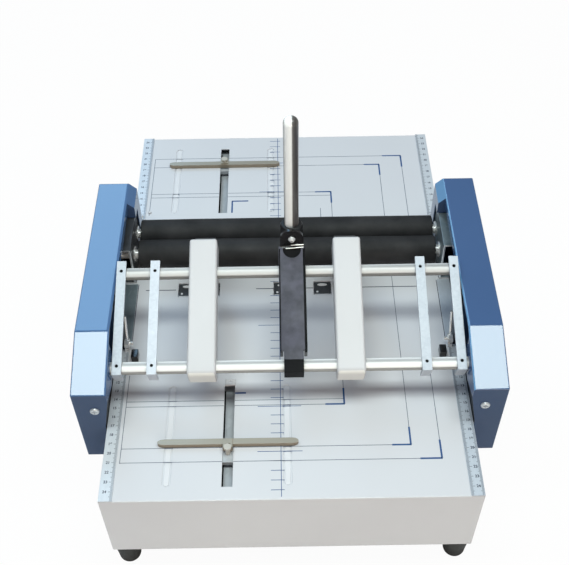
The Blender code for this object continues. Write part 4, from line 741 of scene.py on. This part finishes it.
def makeSideRail(side, sign):
    # narrower in front of its step, with a printed seam along its inner side
    size = dict(inner=0.1605, outer=0.1738, narrow=0.1654, rear=0.0095, step=-0.0570, front=-0.0700,
                gap=0.0001, heights=(0.0001, 0.0009), edge=0.0002, seam=(0.1595, 0.1602),
                seamHeights=(-0.0002, 0.00006))
    name = "side_rail_" + side
    rail = [addSlab(name, (sign * size["inner"], sign * outer), alongY, size["heights"])
            for outer, alongY in ((size["outer"], (size["step"], size["rear"])),
                                  (size["narrow"], (size["front"], size["step"] - size["gap"])))]
    look = "galvanisedSheet" if sign < 0 else "wornRulerSteel"
    finishPiece(soften(joinPieces(name, rail), size["edge"]), look, "base", "bare_steel")
    seam = addSlab("rail_seam_" + side, [sign * x for x in size["seam"]], (size["front"], size["rear"]),
                   size["seamHeights"])
    finishPiece(seam, "rulerInk", "base", "table_paint")


def makeLinkGuide(side, sign):
    # a leaning post on its foot, a nut on its stud, and a block, all beside the drive link
    # a rod has two ends with their height over the table, its radius, sides and eased edge
    size = dict(rods=(("guide_post", (0.1630, -0.0640, 0.0365), (0.1630, -0.0765, 0.0050), 0.0015, 20, 0),
                      ("nut", (0.1600, -0.0775, 0.0105), (0.1652, -0.0775, 0.0105), 0.0050, 6, 0.0005),
                      ("stud", (0.1566, -0.0775, 0.0105), (0.1602, -0.0775, 0.0105), 0.0020, 20, 0.0004)),
                foot=(0.1630, 0.0024), footY=(-0.0815, -0.0705), footHeights=(0.0001, 0.0060),
                footEdge=0.0006, block=(0.1545, 0.0035), blockY=(-0.0935, -0.0835),
                blockHeights=(0.0001, 0.0085), blockEdge=0.0007)
    parts = []
    for name, start, end, radius, steps, edge in size["rods"]:
        ends = [(sign * x, y, tableTop + height) for x, y, height in (start, end)]
        parts.append(addRod(name, *ends, radius, steps))
        if edge:
            soften(parts[-1], edge)
    x, half = size["foot"]
    foot = addSlab("foot", span(sign * x, half), size["footY"], size["footHeights"])
    parts.append(soften(foot, size["footEdge"]))
    finishPiece(joinPieces("link_guide_post_" + side, parts), "brightChrome", "base", "zinc_steel")
    x, half = size["block"]
    block = addSlab("stop_block_" + side, span(sign * x, half), size["blockY"], size["blockHeights"])
    finishPiece(soften(block, size["blockEdge"]), "glossBlack", "base", "black_rubber")


makeTray()
makeSlotGuides()
makeGrooveFloors()
makePrint()
makeFeet()
makeRulers()
makeAnvilInserts()
makeClipAndScrew()
for side, sign in sides:
    makeSideRail(side, sign)
    makeLinkGuide(side, sign)
print("tray, print and rulers ready")


# Blue side covers with their screws

def makeCovers():
    size = dict(step=0.1605, inner=0.1675, outer=0.200, front=-0.171, rear=0.088, top=tableTop + 0.0755,
                bottom=tableTop - 0.047, bendY=-0.1125, lowZ=tableTop + 0.0545, stepY=0.058, bend=0.0012,
                sheet=0.0012, round=0.0012, overTable=tableTop + 0.0016, overBracket=tableTop + 0.0535,
                middleY=-0.045, windowY=(-0.122, 0.072), lip=0.0027, middleLip=0.0100,
                wallZ=tableTop + 0.034, wallFrontZ=tableTop + 0.0425, wallBendY=-0.146, faceX=0.1752,
                shaftHole=0.0075, shaftPast=0.0035, overrun=0.01, wallOverrun=0.004, bendLap=0.0005,
                windowLap=0.001, floorX=0.1760, floorGap=0.0002, floorHeights=(0.0004, 0.0016),
                floorEdge=0.0003)
    front, rear, top, low = size["front"], size["rear"], size["top"], size["bottom"]
    step, inner, outer, sheet = size["step"], size["inner"], size["outer"], size["sheet"]
    over, lap, bendY, wallBendY = size["overrun"], size["bendLap"], size["bendY"], size["wallBendY"]
    lean = Vector((0, size["lowZ"] - top, bendY - front)).normalized()
    edge = inner + size["bend"]
    cover = addBlock("side_cover_shell", (step, front, low), (outer, rear, top))
    sliceOff(cover, (0, bendY, top), lean)
    sliceOff(cover, (edge, 0, top), (-1, 0, 1))
    cutOut(cover, addBlock("cut", (step - over, front - over, low - over),
                           (inner, size["stepY"], top + over)))
    sliceOff(cover, (edge, bendY, top), (-1, lean.y, lean.z))
    bevelEdges(cover, lambda a, b: max(a.z, b.z) > low + 0.001 and min(a.x, b.x) > edge - 0.0001,
               size["round"], 4)
    hollowOut(cover, lambda face: face.normal.z < -0.9, sheet)
    wall, past = step - size["wallOverrun"], inner + 2 * sheet

    def addWindow(start, end, height, foot=low, far=past):
        # cuts the inner wall away below a height
        return addBlock("cut", (wall, start, foot), (far, end, height))
    frontWindow = addWindow(size["windowY"][0], size["middleY"] + size["wallOverrun"], top - size["lip"])
    sliceOff(frontWindow, (0, bendY + lap, top - size["lip"]), lean)
    lowWindow = addWindow(front + sheet, wallBendY, size["wallFrontZ"])
    wallSlope = Vector((0, size["wallFrontZ"] - size["wallZ"], wallBendY - front - sheet)).normalized()
    sliceOff(lowWindow, (0, wallBendY, size["wallZ"]), wallSlope)
    faceCut = addWindow(front - over, front + 1.5 * sheet, size["wallFrontZ"], tableTop, size["faceX"])
    faceSlope = Vector((size["wallFrontZ"] - size["overTable"], 0, size["faceX"] - inner)).normalized()
    sliceOff(faceCut, (inner, 0, size["wallFrontZ"]), faceSlope)
    shaft = [(x, pressPivot.y, pressPivot.z) for x in (wall, inner + size["shaftPast"])]
    cutOut(cover, addWindow(front - over, rear + over, size["overTable"], low - over, size["faceX"]),
           frontWindow, lowWindow, faceCut,
           addWindow(wallBendY - lap, size["windowY"][0] + size["windowLap"], size["wallZ"]),
           addWindow(size["middleY"], size["stepY"], top - size["middleLip"]),
           addWindow(size["stepY"] - sheet, size["windowY"][1], size["overBracket"]),
           addRod("cut", *shaft, size["shaftHole"]))
    inset = sheet + size["floorGap"]
    for side, sign in sides:
        shell = copyMesh(cover.data, "side_cover_%s_shell" % side)
        if sign < 0:
            shell.scale.x = -1
            editAll(settle(shell))
            bpy.ops.mesh.normals_make_consistent(inside=False)
            stopEditing()
        # the left shell takes the lighter painted-sheen copy of the blue, the right shell the deeper one
        finishPiece(shell, "blueCoverPaint" if sign < 0 else "blueCoverPaintDeep", "base", "blue_paint",
                    "side_cover_" + side, smooth=14)
        # the front faces get the darker blue, painted shade
        secondLook(shell, "blueCoverShade", lambda face: face.normal.y < -0.9)
        # the right cover's slanted inner lip gets the lighter blue, painted light
        if sign > 0:
            secondLook(shell, "blueCoverLip", lambda face: face.normal.x < -0.4 and face.normal.z > 0.3)
        makeCoverScrew(side)
        # the floor plate is in the same darker blue, painted shade of the cover's inside
        floor = addSlab("side_cover_%s_floor" % side, (sign * size["floorX"], sign * (outer - inset)),
                        (front + inset, rear - inset), size["floorHeights"], low)
        finishPiece(soften(floor, size["floorEdge"]), "blueCoverShade", "base", "blue_paint")
    bpy.data.objects.remove(cover)


def makeCoverScrew(side):
    size = dict(base=-0.1711, head=0.0044, height=0.0019, bend=0.0014, slot=0.0009, slotReach=0.0027,
                slotDepth=0.0009, overrun=0.01, shank=0.0018, shankStart=0.0004, shankEdge=0.0003)
    low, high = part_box("cover_screw_" + side)
    x, z = (low.x + high.x) / 2, (low.z + high.z) / 2
    base, face = size["base"], size["base"] - size["height"]
    head = addRod("cover_screw_%s_head" % side, (x, base, z), (x, face, z), size["head"], 40)
    bevelEdges(head, lambda a, b: max(a.y, b.y) < face + 0.0002, size["bend"], 5)
    reach, half = size["slotReach"], size["slot"] / 2
    alongY = base - size["overrun"], face + size["slotDepth"]
    cutOut(head, addSlab("cut", span(x, reach), alongY, span(z, half), 0),
           addSlab("cut", span(x, half), alongY, span(z, reach), 0))
    shank = addRod("shank", (x, base - size["shankStart"], z), (x, high.y, z), size["shank"], 20)
    soften(shank, size["shankEdge"])
    finishPiece(joinPieces(head.name, [head, shank]), "zincSteel", "base", "zinc_steel",
                "cover_screw_" + side)


makeCovers()
print("side covers ready")


# Press frame: shafts, strips, lever and handle

def makeRods():
    size = dict(seams=((-0.106, 0.0007), (0.0351, 0.0007)), groove=-0.00025, edge=0.0006)
    cuts = [((x + way * half, 0, 0), (1, 0, 0)) for x, half in size["seams"] for way in (-1, 1)]
    for node, name, look in (("pivot_shaft", "front_rod", "frontRodSteel"),
                             ("rear_rod", "rear_cross_rod", "rearRodSteel")):
        rod = copyNode(node, name, size["edge"])
        if node == "rear_rod":
            sliceAt(rod, cuts)
            growFaces(rod, lambda face: abs(face.normal.x) < 0.5 and any(
                abs(face.center.x - x) < half for x, half in size["seams"]), size["groove"])
        finishPiece(rod, look, "press_frame", "bare_steel", node)


def makeStrips():
    size = dict(edge=0.0005, screw=0.00155, heights=(0.0055, 0.0084), socket=0.0006, depth=0.0009,
                x=dict(inner=0.1285, outer=0.1612))
    for kind, middle in size["x"].items():
        for side, sign in sides:
            node = "strip_%s_%s" % (kind, side)
            # the inner left strip gets the lighter zinc, painted light, the others the darker zinc, painted
            # shade
            look = "zincStrip" if node == "strip_inner_left" else "zincStripShade"
            easeNode(node, node + "_bar", look, "zinc_steel", size["edge"])
            plugs = []
            for along in (0, rearRodAlong):
                plug = addPeg("plug", (sign * middle, along), size["heights"], size["screw"], 24, 0)
                insetFaces(plug, lambda face: face.normal.z > 0.9, size["socket"], -size["depth"])
                plugs.append(plug)
            screws = ontoFrame(joinPieces(node + "_screws", plugs))
            finishPiece(screws, "flatBlack", "press_frame", "black_paint")


def leverPlace(point):
    # along the press frame and above its pivot line
    offset = point - pressPivot
    return (offset.y * math.cos(pressTilt) + offset.z * math.sin(pressTilt),
            offset.z * math.cos(pressTilt) - offset.y * math.sin(pressTilt))


def makeLever():
    size = dict(edge=0.0008, bend=0.0012, top=0.0096, right=0.0175, tab=0.0035, x=0.0045, opening=0.0088,
                openingAt=0.1150, openingEnd=0.1166, openingFloor=0.0076, overrun=0.004,
                plate=(0.010, 0.116), bands=((0.0150, 0.0172), (-0.0082, -0.0070)),
                bandHeights=(-0.0006, 0.0003), bandEdge=0.0004, floorHeights=(-0.0003, 0.0002), earEnd=0.002,
                highlightLines=(((-0.0015, -0.0274, 0.0924), (0.0158, -0.0272, 0.0940), 0.0006),
                      ((0.0035, -0.0264, 0.0962), (0.0158, -0.0264, 0.0966), 0.0005)))
    lever = copyNode("lever_arm", "press_lever", 0)
    bevelEdges(lever, lambda a, b: min(a.x, b.x) > size["right"] - 0.0001
               and min(leverPlace(a)[1], leverPlace(b)[1]) > size["top"] - 0.0001
               and abs(leverPlace(a)[0] - leverPlace(b)[0]) > 0.02, size["bend"], 5)
    soften(lever, size["edge"], 3, 35)

    def addOpening(name, radius, low, high):
        # round, with a straight rear side
        disc = addPeg(name, (size["x"], size["openingAt"]), (low, high), radius, 48, 0)
        sliceOff(disc, (0, size["openingEnd"], 0), (0, 1, 0))
        return disc
    cutOut(lever, ontoFrame(addOpening("cut", size["opening"], size["openingFloor"],
                                       size["top"] + size["overrun"])))
    way = Vector((0, math.cos(pressTilt), math.sin(pressTilt)))
    sliceAt(lever, [(tuple(pressPivot + size["tab"] * way), tuple(way))])
    finishPiece(lever, "leverPaint", "press_frame", "black_paint", "lever_arm")

    # the lever's side faces, bends and ends get the darker gloss black and its front tab the flat black,
    # painted shade; the top keeps the lighter lever paint
    def glossy(face):
        along, above = leverPlace(face.center)
        return (face.normal.x > 0.3 or along > size["plate"][1] or along < size["earEnd"]
                or above < size["top"] - size["bend"])
    secondLook(lever, "glossBlack", glossy)
    secondLook(lever, "flatBlack", lambda face: leverPlace(face.center)[0] < size["tab"])
    # flat black strips along the plate's two bent edges and a flat black floor in the half-round opening,
    # painted shade
    bands = [addSlab("band", acrossX, size["plate"], size["bandHeights"], size["top"])
             for acrossX in size["bands"]]
    floor = addOpening("floor", size["opening"] - 0.0001, *(size["openingFloor"] + height
                                                            for height in size["floorHeights"]))
    edgeShade = soften(joinPieces("lever_edge_shade", bands), size["bandEdge"])
    finishPiece(ontoFrame(joinPieces("lever_edge_shade", [edgeShade, floor])), "flatBlack", "press_frame",
                "black_paint")
    # thin chrome rods along the bend at the ear, painted highlights
    up = Vector((0, 0, tableTop))
    edges = [addRod("edge", Vector(start) + up, Vector(end) + up, radius, 12)
             for start, end, radius in size["highlightLines"]]
    finishPiece(joinPieces("lever_bend_highlights", edges), "brightChrome", "press_frame", "bare_steel")


def makeHandle():
    size = dict(radius=0.007, dome=0.0058, socketEdge=0.0005, boltEdge=0.0007)
    low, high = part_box("handle_tube")
    x, y = (low.x + high.x) / 2, (low.y + high.y) / 2
    tube = addRod("handle_grip", (x, y, low.z), (x, y, high.z), size["radius"], 64)
    bevelTop(tube, high.z, size["dome"], 6)
    finishPiece(tube, "handleChrome", "handle", "chrome", "handle_tube")
    easeNode("handle_socket", "handle_clevis", "socketBlack", "black_paint", size["socketEdge"], 3)
    easeNode("handle_bolt", "handle_pin", "brightChrome", "bare_steel", size["boltEdge"], 3, 40)


makeRods()
makeStrips()
makeLever()
makeHandle()
print("press frame ready")


# Staplers

def makeStaplers():
    size = dict(half=0.0135, along=(-0.011, 0.1277), heights=(-0.0150, 0.011), wall=0.0014, corner=0.0026,
                bend=0.0050, hole=0.0062, reach=0.03, bodyEdge=0.0006)
    for side, sign in sides:
        node = "stapler_cover_" + side
        low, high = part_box(node)
        x = (low.x + high.x) / 2
        cover = addSlab(node + "_hood", span(x, size["half"]), size["along"], size["heights"], 0)
        bevelEdges(cover, lambda a, b: min(a.z, b.z) > size["heights"][1] - 0.0001
                   and max(a.y, b.y) < size["along"][0] + 0.0001, size["bend"], 6)
        soften(cover, size["corner"], 5, 50)
        hollowOut(cover, lambda face: face.normal.z < -0.25, size["wall"])
        cutOut(cover, *[addRod("cut", (x - size["reach"], along, 0), (x + size["reach"], along, 0),
                               size["hole"], 40) for along in (0, rearRodAlong)])
        finishPiece(ontoFrame(cover), "ivoryPlastic", "stapler_" + side, "ivory_paint", node)
        # the hood's front faces get the lighter ivory, painted light
        secondLook(cover, "ivoryFront", lambda face: face.normal.y < -0.75)
        easeNode("stapler_body_" + side, "stapler_body_%s_case" % side, "blackPaint", "black_paint",
                 size["bodyEdge"])


makeStaplers()
print("staplers ready")


# Rollers, brackets, drive and the parts below the table

def makeRollers():
    size = dict(radius=0.015, half=0.1575, end=0.0012, bands=((-0.1015, -0.0369), (0.0277, 0.0669)),
                step=0.00025, height=0.025, axleEdge=0.0005, toothEdge=0.00025)
    z = tableTop + size["height"]
    for place, y in (("front", 0.0316), ("rear", 0.0619)):
        roller = addRod("roller_%s_sleeve" % place, (-size["half"], y, z), (size["half"], y, z),
                        size["radius"] - size["step"], 96)
        sliceAt(roller, [((x, 0, 0), (1, 0, 0)) for band in size["bands"] for x in band])
        growFaces(roller, lambda face: abs(face.normal.x) < 0.5 and any(
            a < face.center.x < b for a, b in size["bands"]), size["step"])
        soften(roller, size["end"], 4, 60)
        finishPiece(roller, "rollerRubber", place + "_roller", "roller_rubber", "roller_rubber_" + place)
        easeNode("roller_shaft_" + place, "roller_%s_axle" % place, "groundSteel", "bare_steel",
                 size["axleEdge"])
        easeNode("roller_gear_" + place, "roller_%s_pinion" % place, "bareSteel", "bare_steel",
                 size["toothEdge"], 1, 40)


def makeSheetParts():
    # folded and stamped parts keep the solid's shape, with their edges eased
    size = dict(bracket=0.0007, sideFrame=0.0004, link=0.0006, sector=0.0003, stopBar=0.0009,
                stopScrew=0.0004, anvil=0.0004, stopShare=0.68, stopRim=0.0012)
    plan = [("roller_bracket_left", "darkSheet", size["bracket"]),
            ("roller_bracket_right", "galvanisedSheet", size["bracket"])]
    plan += [("side_frame_" + side, "darkSheet", size["sideFrame"]) for side, sign in sides]
    plan += [("drive_link_" + side, "darkSheet", size["link"]) for side, sign in sides]
    for node, look, edge in plan:
        piece = easeNode(node, node + "_eased", look, "zinc_steel", edge)
        # the brackets' front faces get bright chrome, a painted highlight
        if node.startswith("roller_bracket"):
            secondLook(piece, "brightChrome", lambda face: face.normal.y < -0.8)
    easeNode("drive_sector", "drive_sector_eased", "bareSteel", "bare_steel", size["sector"])
    for place in ("front", "rear"):
        node = place + "_stop_bar"
        bar = copyNode(node, node + "_eased", size["stopBar"])
        stretchPiece(bar, (1, size["stopShare"], 1), (0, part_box(node)[1].y, 0))
        finishPiece(bar, "stopNickel", frame["nodes"][node]["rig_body"], "stop_nickel", node)
        # the front faces take a darker, warmer copy of the nickel and the rear edge a near black one,
        # painted shade
        secondLook(bar, "stopBrass", lambda face: face.normal.y < -0.6)
        secondLook(bar, "stopEdge", lambda face: face.normal.y > 0.3)
    for place in ("front", "rear"):
        node = place + "_stop_screw"
        screw = easeNode(node, node + "_eased", "stopScrewSteel", "zinc_steel", size["stopScrew"])
        secondLook(screw, "slotSheet", lambda face: face.center.z < tableTop - size["stopRim"])
    easeNode("anvil_bar", "anvil_bar_eased", "bareSteel", "bare_steel", size["anvil"])


def dressHidden():
    plan = {"bareSteel": ["knife_blade", "rocker_shaft"], "zincSteel": ["knife_carrier"],
            "galvanisedSheet": ["bottom_plate"],
            "brightChrome": ["roller_bush_%s_%s" % (place, side) for place, side, sign in corners]}
    for side, sign in sides:
        plan["bareSteel"] += ["knife_guide_" + side, "return_spring_" + side]
        plan["zincSteel"].append("rocker_bearing_" + side)
    for look, nodes in plan.items():
        for node in nodes:
            mesh = frame["nodes"][node].data
            mesh.materials.clear()
            mesh.materials.append(looks[look])


makeRollers()
makeSheetParts()
dressHidden()
print("rollers and drive ready")


# Floor, camera and light

def showBright(tree, plain, bright, share, end):
    # the camera, also through glass, sees this share of the bright shader
    path = addNode(tree, "LightPath")
    first = addNode(tree, "Math", operation="MAXIMUM")
    part = addNode(tree, "Math", operation="MULTIPLY")
    part.inputs[1].default_value = share
    mix = addNode(tree, "MixShader")
    joinAll(tree, (path.outputs["Is Camera Ray"], first.inputs[0]),
            (path.outputs["Is Transmission Ray"], first.inputs[1]), (first.outputs[0], part.inputs[0]),
            (part.outputs[0], mix.inputs[0]), (plain.outputs[0], mix.inputs[1]),
            (bright.outputs[0], mix.inputs[2]), (mix.outputs[0], tree.nodes[end].inputs["Surface"]))


def makeStage():
    size = dict(side=14, floor=(0.86, 0.86, 0.86, 1), rough=0.8, seen=0.96, fill=(0.97, 0.98, 1.0, 1),
                strength=0.36)
    bpy.ops.object.select_all(action="DESELECT")
    bpy.ops.mesh.primitive_plane_add(size=size["side"], location=(0, 0, 0))
    floor = bpy.context.object
    floor.name = "floor"
    look = bpy.data.materials.new("paleFloor")
    look.use_nodes = True
    tree = look.node_tree
    shader = setInputs(tree.nodes["Principled BSDF"],
                       {"Base Color": size["floor"], "Roughness": size["rough"]})
    showBright(tree, shader, addNode(tree, "Emission"), size["seen"], "Material Output")
    floor.data.materials.append(look)

    world = bpy.data.worlds.new("paleRoom")
    bpy.context.scene.world = world
    world.use_nodes = True
    tree = world.node_tree
    fill = setInputs(tree.nodes["Background"], {"Color": size["fill"], "Strength": size["strength"]})
    seen = setInputs(addNode(tree, "Background"), {"Color": (1, 1, 1, 1)})
    showBright(tree, fill, seen, 1, "World Output")


def addSoftbox(name, place, target, width, height, power, colour):
    bpy.ops.object.light_add(type="AREA", location=place)
    lamp = bpy.context.object
    lamp.name = name
    lamp.data.shape = "RECTANGLE"
    lamp.data.size = width
    lamp.data.size_y = height
    lamp.data.energy = power
    lamp.data.color = colour
    aim = Vector(target) - Vector(place)
    lamp.rotation_euler = aim.to_track_quat("-Z", "Y").to_euler()


def makeLights():
    # place, what it shines at, width, height, power and colour
    # the narrow overhead softbox is mirrored by everything that leans like the covers' front slope
    lamps = {
        "overheadSoftbox": ((0.0, -0.20, tableTop + 1.165), (0, -0.199, 0), 1.10, 0.27, 11.6,
                            (0.89, 1.0, 0.96)),
        "rearLeftSoftbox": ((-0.56, 1.10, tableTop + 1.28), (-0.18, 0, tableTop), 0.5, 0.75, 5.6,
                            (0.40, 0.70, 1.0)),
        "frontFill": ((0.35, -2.1, 0.55), (0, 0, 0.05), 1.1, 0.9, 11.4, (1.0, 0.84, 0.64)),
    }
    for name, row in lamps.items():
        addSoftbox(name, *row)


def makeCamera():
    size = dict(lean=48.93, yaw=-0.02, roll=-0.95, place=(-0.003, -0.660, tableTop + 0.768),
                focalPixels=947, widthPixels=569, sensor=36)
    bpy.ops.object.camera_add(location=size["place"])
    camera = bpy.context.object
    camera.name = "photoCamera"
    turn = Matrix.Identity(3)
    for degrees, axis in ((-size["yaw"], "Z"), (90 - size["lean"], "X"), (size["roll"], "Z")):
        turn = turn @ Matrix.Rotation(math.radians(degrees), 3, axis)
    camera.rotation_euler = turn.to_euler()
    camera.data.sensor_width = size["sensor"]
    camera.data.lens = size["focalPixels"] / size["widthPixels"] * size["sensor"]
    camera.data.clip_start = 0.01
    camera.data.clip_end = 60
    bpy.context.scene.camera = camera


makeStage()
makeLights()
makeCamera()
bpy.context.scene.view_settings.view_transform = "Standard"
print("floor, lights and camera ready")
